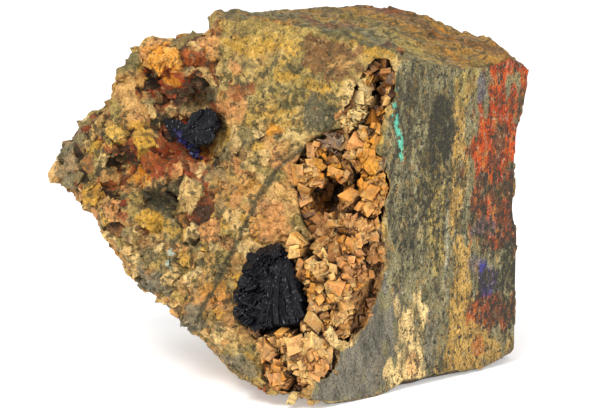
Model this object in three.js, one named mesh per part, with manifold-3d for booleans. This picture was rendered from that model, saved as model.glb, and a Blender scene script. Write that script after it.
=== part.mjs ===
// A hand-size specimen of azurite on dolomite, in millimetres, +Z up.
// It stands on its flat foot. The broken front face looks towards -Y and -X and leans back, and the sawn
// face looks towards -Y and +X. An open hollow lined with dolomite rhombs lies where the two faces meet,
// with a rosette of azurite blades in its lower end. A smaller fan of blades sits in a pit, upper left.
import * as THREE from "three";
import { ConvexGeometry } from "three/addons/geometries/ConvexGeometry.js";
import { LoftGeometry } from "three/addons/geometries/LoftGeometry.js";
import { mergeVertices } from "three/addons/utils/BufferGeometryUtils.js";
import Module from "manifold-3d";

const wasm = await Module();
wasm.setup();

// Driving dimensions
const DEGREE = Math.PI / 180;
const FRONT_TURN = 26 * DEGREE; // the front face turns this far to the left of -Y
const FRONT_LEAN = 18 * DEGREE; // and leans back this far
const SAWN_TURN = 40 * DEGREE; // the sawn face turns this far to the right of -Y
const NEAR_CORNER = new THREE.Vector3(4.5, -29.7, 1.2); // on both faces, low down
const FOOT = -1.4; // height of the flat foot in the numbers below
const CENTRE = new THREE.Vector2(0, 3.4); // the plan centre of the whole in the numbers below
const SKIRT = -4; // the outline runs this far down, and the foot cuts it off
const BACK_CENTRE = new THREE.Vector3(3, 36, 37);
const BACK_SHARE = 0.72; // size of the blunt back against the girth
const CUT_SIZE = 300; // side of the boxes that cut flat faces
const GAP = 0.35; // clearance between pieces that rest in each other
const CRUST_WALL = 2.2; // thickness of the crystal crust where no crystal stands
const CRUST_PROUD = 1.6; // the crust's crystals reach this far out of the front face
const SAWN_PROUD = 1; // and this far out of the sawn face
const FINE_EDGE = 5; // longest triangle edge on the front
const COARSE_EDGE = 11; // and on the back
const SWAP_ROUNDS = 30; // how often the surface's triangles are evened out
const ALMOST_FLAT = 0.97; // cosine of the largest angle between faces that still count as one
const FRONT_CRYSTALS = 26; // crystals and broken lumps that stand on the front
const FRONT_DEPTH = 8; // the front's relief fades out this far behind the front plane
const BREAK_CELL = 13; // size of the broken surface's large facets
const BREAK_HEIGHT = 1.6;
const BACK_CELL = 24; // facets of the back, which broke in larger pieces
const BACK_HEIGHT = 2.6;
const CLEAVAGE_CELL = 5.5; // size of the small facets, on the front only
const CLEAVAGE_HEIGHT = 1.1;
const RHOMB_TILT = 43.85 * DEGREE; // angle of a dolomite rhomb's edges to its long axis

const UP = new THREE.Vector3(0, 0, 1);
const frontNormal = new THREE.Vector3(
  -Math.sin(FRONT_TURN) * Math.cos(FRONT_LEAN),
  -Math.cos(FRONT_TURN) * Math.cos(FRONT_LEAN),
  Math.sin(FRONT_LEAN),
);
const frontRight = new THREE.Vector3(Math.cos(FRONT_TURN), -Math.sin(FRONT_TURN), 0);
const frontUp = new THREE.Vector3().crossVectors(frontNormal, frontRight);
const sawnNormal = new THREE.Vector3(Math.sin(SAWN_TURN), -Math.cos(SAWN_TURN), 0);
const sawnRight = new THREE.Vector3(Math.cos(SAWN_TURN), Math.sin(SAWN_TURN), 0);

// The rock's outline in pairs: a point of the front rim as [x, z] on the front plane, and the point of
// the girth behind it as [x, y, z]. It runs round from the top left corner, along the top first.
// The rims past the sawn face only lead the surface there, and the sawn face cuts them off.
const OUTLINE = [
  { rim: [-15.7, 75.1], girth: [-16.4, 15, 75] },
  { rim: [-7.4, 75.2], girth: [-7.7, 20.7, 74.3] },
  { rim: [2.1, 74], girth: [2.1, 24.7, 74.2] },
  { rim: [12.4, 72.5], girth: [12, 27.7, 74.4] },
  { rim: [19.5, 70.6], girth: [24.2, 29.7, 73.1] },
  { rim: [30, 66.5], girth: [31.9, 29, 71.6] },
  { rim: [40, 63], girth: [36.2, 26, 70.4] },
  { rim: [50, 61], girth: [42.6, 20.6, 69] },
  { rim: [56, 58], girth: [50.6, 11.6, 63.6] },
  { rim: [56, 42], girth: [48.7, 11.5, 45.5] },
  { rim: [56, 24], girth: [48, 11.5, 23.3] },
  { rim: [56, SKIRT], girth: [48.6, 12, SKIRT] },
  { rim: [36, SKIRT], girth: [42, 22, SKIRT] },
  { rim: [15, SKIRT], girth: [22, 29, SKIRT] },
  { rim: [2, 1.2], girth: [-2, 26, SKIRT] },
  { rim: [-4.6, 1.6], girth: [-9, 10, -2.4] },
  { rim: [-9.2, 3.4], girth: [-11, -13, 0.4] },
  { rim: [-13.5, 8.2], girth: [-16.6, -8, 5] },
  { rim: [-19.4, 12.2], girth: [-21.9, -5, 10.1] },
  { rim: [-25.5, 16.7], girth: [-27.9, -1, 14.8] },
  { rim: [-31.2, 22.1], girth: [-33, 3, 18.6] },
  { rim: [-35.8, 26], girth: [-37.8, 6, 24.8] },
  { rim: [-39.4, 30.7], girth: [-41.2, 9, 29.9] },
  { rim: [-43, 34.8], girth: [-44.4, 12, 33.2] },
  { rim: [-47.3, 37.7], girth: [-48.4, 15, 35.7] },
  { rim: [-49.5, 40.5], girth: [-50.7, 17, 38.9] },
  { rim: [-48.6, 44.6], girth: [-49.6, 18, 43.6] },
  { rim: [-46, 48.6], girth: [-46.8, 18, 47.8] },
  { rim: [-42.4, 51.8], girth: [-43.2, 18, 51.2] },
  { rim: [-39.3, 53.8], girth: [-40.2, 17, 53.1] },
  { rim: [-37.7, 56.8], girth: [-38.6, 17, 55.7] },
  { rim: [-36.4, 62.2], girth: [-37.2, 17, 61.9] },
  { rim: [-32.9, 67], girth: [-33.9, 17, 66.7] },
  { rim: [-29.6, 68.6], girth: [-30.4, 17, 68.2] },
  { rim: [-23.5, 69.7], girth: [-23.9, 17, 69.1] },
  { rim: [-18.1, 70.6], girth: [-18.4, 16, 70.1] },
  { rim: [-17.2, 72.1], girth: [-17.8, 16, 71.9] },
];

// Fracture planes that break the back: a point on each and the way it faces.
const BACK_BREAKS = [
  { through: [0, 32.5, 36], facing: [-0.08, 0.99, 0.1] },
  { through: [-24, 30.3, 44], facing: [-0.4, 0.9, 0.15] },
  { through: [-14, 30.7, 12], facing: [-0.42, 0.62, -0.66] },
  { through: [38, 24.3, 30], facing: [0.6, 0.8, -0.04] },
  { through: [8, 32, 72], facing: [0.04, 0.72, 0.69] },
  { through: [-46, 22, 46], facing: [-0.72, 0.62, 0.3] },
];

// The sawn face's chipped lower edge as [distance from the near corner along the face, height].
const CHIPPED_EDGE = [
  [-4, 3], [0, 1.2], [3.5, 0.3], [7.6, -0.5], [12, -1.1], [17.2, FOOT], [20, -1.1], [23.7, -0.2], [25.6, 0.8],
  [29.9, 0.2], [34.3, 0.5], [43, 0], [47.5, -0.4], [52, -0.1], [56.6, 1.2], [62, 3],
];
const CHIP_FLOOR = -20; // the cutting shape is closed at this height, far under the foot
const CHIP_DEPTH = 7; // the chips reach this far in from the sawn face
const CHIP_DROP = 4; // and run down this far over that depth

// Lumps stand out of the front face and pits go in: centre [x, z], half size [x, z] and height.
const LUMPS_AND_PITS = [
  { name: "azurite pit", at: [-21.6, 52.4], half: [8.6, 7.4], height: -5 },
  { name: "deep hole by the orange block", at: [-29.5, 60], half: [2.6, 3.4], height: -4 },
  { name: "pit above the azurite", at: [-20, 59.5], half: [4.5, 3.4], height: -2.6 },
  { name: "dark pit left", at: [-34.7, 42.6], half: [3.6, 3.2], height: -3.8 },
  { name: "dark pit far left", at: [-39, 37.4], half: [3.4, 2.4], height: -3.2 },
  { name: "dark trough", at: [-26.5, 36.2], half: [5.4, 2.6], height: -3 },
  { name: "small pit lower left", at: [-29.5, 29.6], half: [2.6, 3], height: -2.4 },
  { name: "small pit, middle", at: [-11.5, 43.5], half: [2.4, 2], height: -1.6 },
  { name: "orange block", at: [-25.2, 66], half: [6.4, 3], height: 3 },
  { name: "block at the left shoulder", at: [-34.6, 58.2], half: [3, 4.4], height: 2 },
  { name: "orange knob by the pit", at: [-13, 57.6], half: [3.6, 3.4], height: 2.4 },
  { name: "yellow lump", at: [-37.6, 47], half: [4.6, 3.4], height: 2 },
  { name: "red lump far left", at: [-38.6, 33.6], half: [3.2, 2.2], height: 1.6 },
  { name: "yellow lump lower left", at: [-32.6, 33], half: [3.6, 2.6], height: 1.6 },
  { name: "tall tan lump", at: [-20.6, 40.4], half: [3.2, 5.6], height: 2.4 },
  { name: "middle swell", at: [-8, 47], half: [9, 10], height: 1 },
  { name: "cream lip of the hollow", at: [11.6, 62.6], half: [3.6, 6], height: 2 },
  { name: "top slab", at: [0, 67], half: [15, 7], height: 1.4 },
  { name: "red tuft low down", at: [-7.2, 3.4], half: [4.4, 2], height: 2 },
];

// The hollow is made of overlapping lobes; a lobe's turn leans it in the front view.
const HOLLOW = [
  { at: [16.4, -12, 59.6], half: [4.8, 8.5, 10.2], turn: 22 * DEGREE },
  { at: [10.4, -15.4, 42.6], half: [10.2, 11.5, 13], turn: -4 * DEGREE },
  { at: [2.6, -20.4, 19.6], half: [14.4, 6.6, 14], turn: 12 * DEGREE },
  { at: [12, -20.4, 27.6], half: [9, 6.6, 13], turn: 6 * DEGREE },
  { at: [0.6, -25, 9.6], half: [9, 5.4, 8.4], turn: 0 },
];
// The two upper lobes stay open inside their crust, and the others are filled almost to the faces.
const OPEN_LOBES = [0, 1];
const FILL_DEPTH = 2; // the filling ends this far below the front plane
const WALL_RHOMBS = [7, 13]; // crystals on the wall of each open lobe
const WALL_EDGE = [3, 5.4]; // smallest and largest edge there
const PACK_STEP = 5.6; // spacing of the packed crystals along a row
const PACK_RISE = 4.8; // and from row to row
const PACK_START = [-13, 6]; // [x, z] of the first packed crystal
const PACK_GRID = [9, 12]; // columns and rows
const PACK_STRAY = 0.9; // a packed crystal lies up to this far off its grid place
const PACK_EDGE = [4.2, 6.4]; // smallest and largest edge there
const CLEAR_SPACE = new THREE.Box3(new THREE.Vector3(1.6, -40, 36.4), new THREE.Vector3(7, -11.5, 42.2));

// Large rhombs that the eye finds first: [x, z] in the front view, depth behind the front plane,
// edge, and the way the long axis points.
const LARGE_RHOMBS = [
  { at: [8.6, 47.6], depth: 5, edge: 6.2, axis: [0.3, -0.9, -0.3] },
  { at: [13, 49.6], depth: 4.4, edge: 5.4, axis: [-0.4, -0.9, 0.2] },
  { at: [3.8, 45.6], depth: 1.8, edge: 5.4, axis: [0.2, -0.8, 0.5] },
  { at: [-1, 39.4], depth: 1.6, edge: 4.6, axis: [-0.3, -0.8, 0.5] },
  { at: [11.4, 40.4], depth: 5.2, edge: 6, axis: [-0.2, -0.9, 0.3] },
  { at: [7, 33.4], depth: 3.2, edge: 6.4, axis: [0.2, -0.7, 0.6] },
  { at: [18.1, 52.6], depth: 0.6, edge: 5.2, axis: [0.5, -0.8, 0] },
  { at: [17, 43.4], depth: 1.4, edge: 5.8, axis: [0.4, -0.9, 0.2] },
  { at: [17.4, 35], depth: 1.6, edge: 5.4, axis: [0.4, -0.9, -0.2] },
  { at: [8.2, 52], depth: 3.6, edge: 4, axis: [-0.6, -0.7, 0.3] },
  { at: [-1.6, 11.6], depth: 1.6, edge: 4.8, axis: [-0.1, -0.8, 0.5] },
  { at: [4, 8.6], depth: 1.8, edge: 5.6, axis: [0.3, -0.8, 0.4] },
  { at: [12.3, 27.6], depth: 1.4, edge: 5.6, axis: [-0.1, -0.9, 0.4] },
];

// The rosette: a fan of upright blades from its apex, and ledges of flat blades to the left of it.
// Places are [x, z] in the front view.
const ROSETTE_APEX = [-0.6, 29.6];
const ROSETTE_TIPS = [
  [2.3, 22.4], [3.2, 19.4], [3.4, 16.4], [1.8, 14.9], [0, 14.5], [-1.8, 14.3], [-3.6, 13.8], [-5.4, 13.2],
];
const ROSETTE_LEDGES = [
  { at: [-4.2, 28.4], radius: 2.2 },
  { at: [-2.2, 29.2], radius: 1.8 },
  { at: [-5.8, 26], radius: 2.4 },
  { at: [-4.4, 24.2], radius: 2.6 },
  { at: [-7.4, 22.6], radius: 2.4 },
  { at: [-5.4, 20.8], radius: 2.6 },
  { at: [-8.8, 19.4], radius: 2.3 },
  { at: [-6.2, 17.6], radius: 2.6 },
  { at: [-8.6, 15.8], radius: 2.3 },
  { at: [-6.4, 14.6], radius: 2 },
];
const ROSETTE_CORE = { at: [-3.4, 21.4], half: [4.6, 2.6, 6.6] };
const BLADE_THICKNESS = 1.2;

// The fan in the upper pit: a wide blade in wedges from its apex, a side blade and a trail of grains.
const FAN_APEX = [-22.6, 51.4];
const FAN_ARC = [[-20, 55], [-17.6, 56.2], [-15.5, 54.2], [-16.4, 51.6], [-17.2, 49.4], [-20.4, 49.2]];
const FAN_SIDE = [[-27.6, 53.4], [-24.2, 53.4], [-22.4, 52.4], [-23.4, 50.8], [-26.4, 51.4]];
const FAN_GRAINS = [[-23.4, 50.4], [-22.6, 49.4], [-21.8, 48.6], [-20.8, 47.8]];
const FAN_DEPTH = 1.8; // the fan lies this far below the front plane
const GRAIN_EDGE = 1.5;

// A seeded random number generator, so that every build is the same.
function seeded(seed) {
  let state = seed;
  return (low = 0, high = 1) => {
    state = (Math.imul(state, 1664525) + 1013904223) >>> 0;
    return low + ((high - low) * state) / 2 ** 32;
  };
}

// A three.js geometry as a manifold solid, and back.
function solidOf(geometry) {
  const bare = geometry.index ? geometry.toNonIndexed() : geometry.clone();
  bare.deleteAttribute("normal");
  bare.deleteAttribute("uv");
  const merged = mergeVertices(bare, 1e-4);
  return new wasm.Manifold(
    new wasm.Mesh({
      numProp: 3,
      vertProperties: merged.attributes.position.array,
      triVerts: new Uint32Array(merged.index.array),
    }),
  );
}

function geometryOf(solid) {
  const mesh = solid.getMesh();
  const geometry = new THREE.BufferGeometry();
  geometry.setAttribute("position", new THREE.BufferAttribute(mesh.vertProperties, 3));
  geometry.setIndex(new THREE.BufferAttribute(mesh.triVerts, 1));
  return geometry;
}

function joined(solids) {
  return solids.reduce((whole, solid) => whole.add(solid));
}

// The largest body of a solid: crumbs that a cut leaves behind are dropped.
function largestBody(solid) {
  return solid.decompose().reduce((a, b) => (a.volume() > b.volume() ? a : b));
}

// The point of the front plane seen at [x, z] in the front view, moved out along the normal.
function onFront([x, z], out = 0) {
  const across = (x - NEAR_CORNER.x) * frontNormal.x + (z - NEAR_CORNER.z) * frontNormal.z;
  const point = new THREE.Vector3(x, NEAR_CORNER.y - across / frontNormal.y, z);
  return point.addScaledVector(frontNormal, out);
}

// The same for the sawn face.
function onSawn([x, z], out = 0) {
  const along = (x - NEAR_CORNER.x) / sawnRight.x;
  const point = NEAR_CORNER.clone().addScaledVector(sawnRight, along);
  point.z = z;
  return point.addScaledVector(sawnNormal, out);
}

// How far a point lies in front of a plane through the near corner.
function distanceTo(point, normal) {
  return point.clone().sub(NEAR_CORNER).dot(normal);
}

// A box whose one face lies on the plane through a point, filling the side that the normal points to.
function cutBox(point, normal) {
  const box = new THREE.BoxGeometry(CUT_SIZE, CUT_SIZE, CUT_SIZE);
  box.translate(0, 0, CUT_SIZE / 2);
  box.applyQuaternion(new THREE.Quaternion().setFromUnitVectors(UP, normal));
  box.translate(point.x, point.y, point.z);
  return solidOf(box);
}

// What lies further out than a plane moved out from the near corner.
function beyond(normal, out) {
  return cutBox(NEAR_CORNER.clone().addScaledVector(normal, out), normal);
}

// A number from 0 to 1 that belongs to one cell of a grid.
function cellNumber(i, j, k, salt) {
  const wave = Math.sin(i * 127.1 + j * 311.7 + k * 74.7 + salt * 53.3) * 43758.5453;
  return wave - Math.floor(wave);
}

// Height of a surface broken into flat facets: each cell has its own level and its own tilt.
function facets(point, size, salt) {
  const base = point.clone().divideScalar(size).floor();
  const offset = new THREE.Vector3();
  let nearest = Infinity;
  let height = 0;
  for (let n = 0; n < 27; n++) {
    const i = base.x + (n % 3) - 1;
    const j = base.y + (Math.floor(n / 3) % 3) - 1;
    const k = base.z + Math.floor(n / 9) - 1;
    const r = [0, 1, 2, 3, 4, 5, 6].map((s) => cellNumber(i, j, k, salt + s));
    offset.set(i + r[0], j + r[1], k + r[2]).multiplyScalar(size).sub(point);
    const distance = offset.lengthSq();
    if (distance < nearest) {
      nearest = distance;
      const tilt = (r[4] - 0.5) * offset.x + (r[5] - 0.5) * offset.y + (r[6] - 0.5) * offset.z;
      height = r[3] - 0.5 + (1.1 * tilt) / size;
    }
  }
  return height;
}

// Lumps and pits of the front face, each a rounded bump with steep sides.
function frontRelief(point) {
  let height = 0;
  for (const { at, half, height: full } of LUMPS_AND_PITS) {
    const reach = Math.hypot((point.x - at[0]) / half[0], (point.z - at[1]) / half[1]);
    height += full * (1 - THREE.MathUtils.smoothstep(reach, 0.55, 1.35));
  }
  return height;
}

// Splits every edge longer than its limit at its middle. The limit is a function of the edge's middle,
// so the two triangles on an edge agree, and the surface stays closed.
function refined(geometry, limit) {
  const { position } = (geometry.index ? geometry.toNonIndexed() : geometry).attributes;
  const waiting = [];
  for (let i = 0; i < position.count; i += 3) {
    waiting.push([0, 1, 2].map((c) => new THREE.Vector3().fromBufferAttribute(position, i + c)));
  }
  const done = [];
  while (waiting.length) {
    const corners = waiting.pop();
    let worst = 1;
    let split = -1;
    let middle = null;
    for (let c = 0; c < 3; c++) {
      const a = corners[c];
      const b = corners[(c + 1) % 3];
      const centre = a.clone().add(b).multiplyScalar(0.5);
      const share = a.distanceTo(b) / limit(centre);
      if (share > worst) {
        worst = share;
        split = c;
        middle = centre;
      }
    }
    if (split < 0) {
      done.push(corners);
      continue;
    }
    const a = corners[split];
    const b = corners[(split + 1) % 3];
    const c = corners[(split + 2) % 3];
    waiting.push([a, middle, c], [middle, b, c]);
  }
  return new THREE.BufferGeometry().setFromPoints(done.flat());
}

// The angle at corner b between a and c.
function angleAt(a, b, c) {
  return a.clone().sub(b).angleTo(c.clone().sub(b));
}

// Swaps the shared edge of two almost coplanar triangles wherever that makes them less slender.
function evened(geometry) {
  const merged = mergeVertices(geometry, 1e-4);
  const position = merged.attributes.position;
  const points = [];
  for (let i = 0; i < position.count; i++) points.push(new THREE.Vector3().fromBufferAttribute(position, i));
  const index = merged.index.array;
  const triangles = [];
  for (let i = 0; i < index.length; i += 3) triangles.push([index[i], index[i + 1], index[i + 2]]);
  const facing = ([a, b, c]) => new THREE.Triangle(points[a], points[b], points[c]).getNormal(new THREE.Vector3());
  for (let round = 0; round < SWAP_ROUNDS; round++) {
    const owner = new Map();
    triangles.forEach((corners, t) =>
      corners.forEach((a, k) => owner.set(`${a} ${corners[(k + 1) % 3]}`, [t, corners[(k + 2) % 3]])),
    );
    const touched = new Set();
    for (const [edge, [t, c]] of [...owner]) {
      const [a, b] = edge.split(" ").map(Number);
      const [u, d] = owner.get(`${b} ${a}`);
      if (a > b || touched.has(t) || touched.has(u) || owner.has(`${c} ${d}`) || owner.has(`${d} ${c}`)) continue;
      if (angleAt(points[a], points[c], points[b]) + angleAt(points[a], points[d], points[b]) < 1.02 * Math.PI) continue;
      const before = [facing(triangles[t]), facing(triangles[u])];
      const after = [[c, a, d], [c, d, b]];
      if (before[0].dot(before[1]) < ALMOST_FLAT) continue;
      if (after.some((corners) => facing(corners).dot(before[0]) < ALMOST_FLAT)) continue;
      triangles[t] = after[0];
      triangles[u] = after[1];
      owner.set(`${c} ${d}`, [-1, -1]);
      touched.add(t).add(u);
    }
    if (!touched.size) break;
  }
  return new THREE.BufferGeometry().setFromPoints(triangles.flat().map((corner) => points[corner]));
}

// The rough block before any flat cut: a loft from the front rim through the girth to a blunt back,
// with the back broken along its fracture planes.
function looseBlock() {
  const rim = OUTLINE.map((row) => onFront(row.rim));
  const girth = OUTLINE.map((row) => new THREE.Vector3(...row.girth));
  const back = girth.map((p) => {
    const q = p.clone().lerp(BACK_CENTRE, 1 - BACK_SHARE);
    q.y = BACK_CENTRE.y;
    return q;
  });
  const loft = new LoftGeometry([rim, girth, back], { capStart: true, capEnd: true });
  let block = solidOf(loft);
  for (const { through, facing } of BACK_BREAKS) {
    block = block.subtract(cutBox(new THREE.Vector3(...through), new THREE.Vector3(...facing).normalize()));
  }
  return block;
}

// The block with its broken surface: facets of two sizes all round, lumps and pits in front.
function brokenBlock() {
  const limit = (point) => {
    const behind = -distanceTo(point, frontNormal);
    const hidden = distanceTo(point, sawnNormal) > FINE_EDGE;
    const share = hidden ? 1 : THREE.MathUtils.smoothstep(behind, 1, 3 * FRONT_DEPTH);
    return THREE.MathUtils.lerp(FINE_EDGE, COARSE_EDGE, share);
  };
  let surface = geometryOf(looseBlock());
  for (const share of [3, 1.7, 1]) surface = evened(refined(surface, (point) => share * limit(point)));
  const geometry = mergeVertices(surface, 1e-4);
  geometry.computeVertexNormals();
  const { position, normal } = geometry.attributes;
  const point = new THREE.Vector3();
  const outward = new THREE.Vector3();
  for (let i = 0; i < position.count; i++) {
    point.fromBufferAttribute(position, i);
    outward.fromBufferAttribute(normal, i);
    const behind = -distanceTo(point, frontNormal);
    const inFront = 1 - THREE.MathUtils.smoothstep(behind, 0.2, FRONT_DEPTH);
    const nearFront = 1 - THREE.MathUtils.smoothstep(behind, FRONT_DEPTH, 3 * FRONT_DEPTH);
    const large = THREE.MathUtils.lerp(
      BACK_HEIGHT * facets(point, BACK_CELL, 5),
      BREAK_HEIGHT * facets(point, BREAK_CELL, 1),
      nearFront,
    );
    const rough = large + nearFront * CLEAVAGE_HEIGHT * facets(point, CLEAVAGE_CELL, 20);
    const relief = frontRelief(point) * inFront;
    point.addScaledVector(outward, rough);
    point.addScaledVector(frontNormal, relief);
    position.setXYZ(i, point.x, point.y, point.z);
  }
  return solidOf(geometry);
}

// The chips along the sawn face's lower edge: the edge's outline drawn on the face, closed far below,
// and pushed into the rock while it runs down.
function chips() {
  const [first, last] = [CHIPPED_EDGE.at(0)[0], CHIPPED_EDGE.at(-1)[0]];
  const outline = [[last, CHIP_FLOOR], [first, CHIP_FLOOR], ...CHIPPED_EDGE];
  const shape = new THREE.Shape(outline.map(([along, height]) => new THREE.Vector2(along, height)));
  const geometry = new THREE.ExtrudeGeometry(shape, { depth: CHIP_DEPTH + 1, bevelEnabled: false });
  const position = geometry.attributes.position;
  const point = new THREE.Vector3();
  for (let i = 0; i < position.count; i++) {
    const out = position.getZ(i) - CHIP_DEPTH;
    point.copy(NEAR_CORNER).addScaledVector(sawnRight, position.getX(i)).addScaledVector(sawnNormal, out);
    point.z = position.getY(i) + (CHIP_DROP / CHIP_DEPTH) * out;
    position.setXYZ(i, point.x, point.y, point.z);
  }
  return solidOf(geometry);
}

// A dolomite rhomb about its centre: three edges lean evenly round the long axis.
function rhomb(at, edge, axis, spin) {
  const edges = [0, 1, 2].map((n) => {
    const around = spin + (n * 2 * Math.PI) / 3;
    return new THREE.Vector3(
      Math.sin(RHOMB_TILT) * Math.cos(around),
      Math.sin(RHOMB_TILT) * Math.sin(around),
      Math.cos(RHOMB_TILT),
    ).multiplyScalar(edge);
  });
  const corners = [];
  for (let n = 0; n < 8; n++) {
    const corner = new THREE.Vector3();
    edges.forEach((e, bit) => corner.addScaledVector(e, ((n >> bit) & 1) - 0.5));
    corners.push(corner);
  }
  const geometry = new ConvexGeometry(corners);
  geometry.applyQuaternion(new THREE.Quaternion().setFromUnitVectors(UP, axis.clone().normalize()));
  geometry.translate(at.x, at.y, at.z);
  return solidOf(geometry);
}

// One lobe of the hollow as a faceted, uneven egg, smaller by inset all round.
function lobe({ at, half, turn }, inset) {
  const egg = new THREE.IcosahedronGeometry(1, 1);
  const position = egg.attributes.position;
  const point = new THREE.Vector3();
  for (let i = 0; i < position.count; i++) {
    point.fromBufferAttribute(position, i);
    point.multiplyScalar(1 + 0.08 * Math.sin(5 * point.x + at[2]) * Math.cos(4 * point.z + at[0]));
    position.setXYZ(i, point.x * (half[0] - inset), point.y * (half[1] - inset), point.z * (half[2] - inset));
  }
  egg.rotateY(turn);
  egg.translate(...at);
  return solidOf(egg);
}

// Whether [x, z] in the front view lies inside a lobe's outline, shrunk by a share.
function insideLobe({ at, half, turn }, [x, z], share) {
  const dx = x - at[0];
  const dz = z - at[2];
  const u = dx * Math.cos(turn) - dz * Math.sin(turn);
  const v = dx * Math.sin(turn) + dz * Math.cos(turn);
  return Math.hypot(u / half[0], v / half[2]) < share;
}

function keepsClear(at, edge) {
  return CLEAR_SPACE.distanceToPoint(at) > edge * 0.85;
}

// Crystals on the walls of the open lobes, pointing into the open space.
function wallRhombs(random) {
  const rhombs = [];
  for (const index of OPEN_LOBES) {
    const { at, half, turn } = HOLLOW[index];
    for (let n = 0; n < WALL_RHOMBS[index]; n++) {
      const rise = 0.9 - (1.8 * (n + 0.5)) / WALL_RHOMBS[index];
      const around = n * 2.4;
      const ring = Math.sqrt(1 - rise * rise);
      const direction = new THREE.Vector3(ring * Math.cos(around), Math.abs(ring * Math.sin(around)), rise);
      const point = direction.clone().multiply(new THREE.Vector3(...half)).multiplyScalar(0.8);
      point.applyAxisAngle(new THREE.Vector3(0, 1, 0), turn).add(new THREE.Vector3(...at));
      const edge = random(...WALL_EDGE);
      const sway = new THREE.Vector3(random(-0.5, 0.5), -0.6, random(-0.5, 0.5));
      const axis = direction.clone().negate().add(sway);
      const spin = random(0, 2);
      if (keepsClear(point, edge)) rhombs.push(rhomb(point, edge, axis, spin));
    }
  }
  return rhombs;
}

// Crystals packed side by side over the filled lobes, on both faces.
function packedRhombs(random) {
  const rhombs = [];
  for (let row = 0; row < PACK_GRID[1]; row++) {
    for (let column = 0; column < PACK_GRID[0]; column++) {
      const x = PACK_START[0] + (column + (row % 2) / 2) * PACK_STEP + random(-PACK_STRAY, PACK_STRAY);
      const z = PACK_START[1] + row * PACK_RISE + random(-PACK_STRAY, PACK_STRAY);
      const depth = random(0.4, 2.6);
      const edge = random(...PACK_EDGE);
      const tilt = new THREE.Vector3(random(-0.9, 0.9), random(-0.4, 0.4), random(-0.9, 0.9));
      const spin = random(0, 2);
      const front = onFront([x, z], -depth);
      const sawn = onSawn([x, z], -depth);
      const onSawnFace = distanceTo(front, sawnNormal) > -depth;
      const at = onSawnFace ? sawn : front;
      const axis = (onSawnFace ? sawnNormal : frontNormal).clone().add(tilt);
      const inFilled = HOLLOW.some((part, i) => !OPEN_LOBES.includes(i) && insideLobe(part, [x, z], 0.86));
      const inOpen = OPEN_LOBES.some((i) => insideLobe(HOLLOW[i], [x, z], 0.8));
      const onEdge = onSawnFace && OPEN_LOBES.some((i) => insideLobe(HOLLOW[i], [x, z], 1));
      if (((inFilled && !inOpen) || onEdge) && keepsClear(at, edge)) rhombs.push(rhomb(at, edge, axis, spin));
    }
  }
  return rhombs;
}

function largeRhombs(random) {
  return LARGE_RHOMBS.map(({ at, depth, edge, axis }) =>
    rhomb(onFront(at, -depth), edge, new THREE.Vector3(...axis), random(0, 2)),
  );
}

// Crystals and broken lumps that stand on the front face, part sunk in it.
function frontCrystals(random) {
  const crystals = [];
  while (crystals.length < FRONT_CRYSTALS) {
    const place = [random(-46, 6), random(8, 66)];
    const edge = random(2.4, 4.6);
    const axis = frontNormal.clone().add(new THREE.Vector3(random(-0.8, 0.8), 0, random(-0.8, 0.8)));
    const spin = random(0, 2);
    const inHollow = HOLLOW.some((part) => insideLobe(part, place, 1.12));
    const leftLimit = Math.abs(place[1] - 42) * 0.95 - 48;
    if (inHollow || place[0] < leftLimit) continue;
    const point = onFront(place);
    point.addScaledVector(frontNormal, frontRelief(point) - 0.3 * edge);
    crystals.push(rhomb(point, edge, axis, spin));
  }
  return crystals;
}

// A flat blade: the hull of a ring of points, given a thickness across the normal.
function plate(points, normal) {
  const half = normal.clone().normalize().multiplyScalar(BLADE_THICKNESS / 2);
  return solidOf(new ConvexGeometry(points.flatMap((p) => [p.clone().add(half), p.clone().sub(half)])));
}

// The rosette's blades on edge, side by side from the apex to the tips.
function rosetteFan() {
  return ROSETTE_TIPS.map((place, n) => {
    const lift = n % 2 ? 0.5 : 0;
    const apex = onFront([ROSETTE_APEX[0] - 0.15 * n, ROSETTE_APEX[1] - 0.05 * n]);
    const along = onFront(place).sub(apex);
    const normal = new THREE.Vector3().crossVectors(along, frontNormal);
    const profile = [
      [0, -1.6], [0, 0.8], [0.3, 2 + lift], [0.75, 2.6 + lift], [0.96, 1.8 + lift], [1, -0.4], [0.9, -2],
    ];
    const points = profile.map(([share, out]) =>
      apex.clone().addScaledVector(along, share).addScaledVector(frontNormal, out),
    );
    return plate(points, normal);
  });
}

// The rosette's ledges: uneven six-sided blades that tip forwards one above the other.
function rosetteLedges(random) {
  const normal = frontNormal.clone().addScaledVector(frontUp, 0.75).addScaledVector(frontRight, -0.35);
  const side = new THREE.Vector3().crossVectors(normal, UP).normalize();
  const other = new THREE.Vector3().crossVectors(normal, side).normalize();
  return ROSETTE_LEDGES.map(({ at, radius }, n) => {
    const centre = onFront(at, 0.9 + 0.7 * (n % 2));
    const points = [0, 1, 2, 3, 4, 5].map((corner) => {
      const angle = (corner * Math.PI) / 3 + random(-0.25, 0.25);
      const reach = radius * random(0.85, 1.2);
      const point = centre.clone().addScaledVector(side, Math.cos(angle) * reach);
      return point.addScaledVector(other, Math.sin(angle) * reach);
    });
    return plate(points, normal);
  });
}

function rosette() {
  const core = new THREE.IcosahedronGeometry(1, 0);
  core.scale(...ROSETTE_CORE.half);
  const centre = onFront(ROSETTE_CORE.at, -1.2);
  core.translate(centre.x, centre.y, centre.z);
  return largestBody(joined([solidOf(core), ...rosetteFan(), ...rosetteLedges(seeded(3))]));
}

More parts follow.
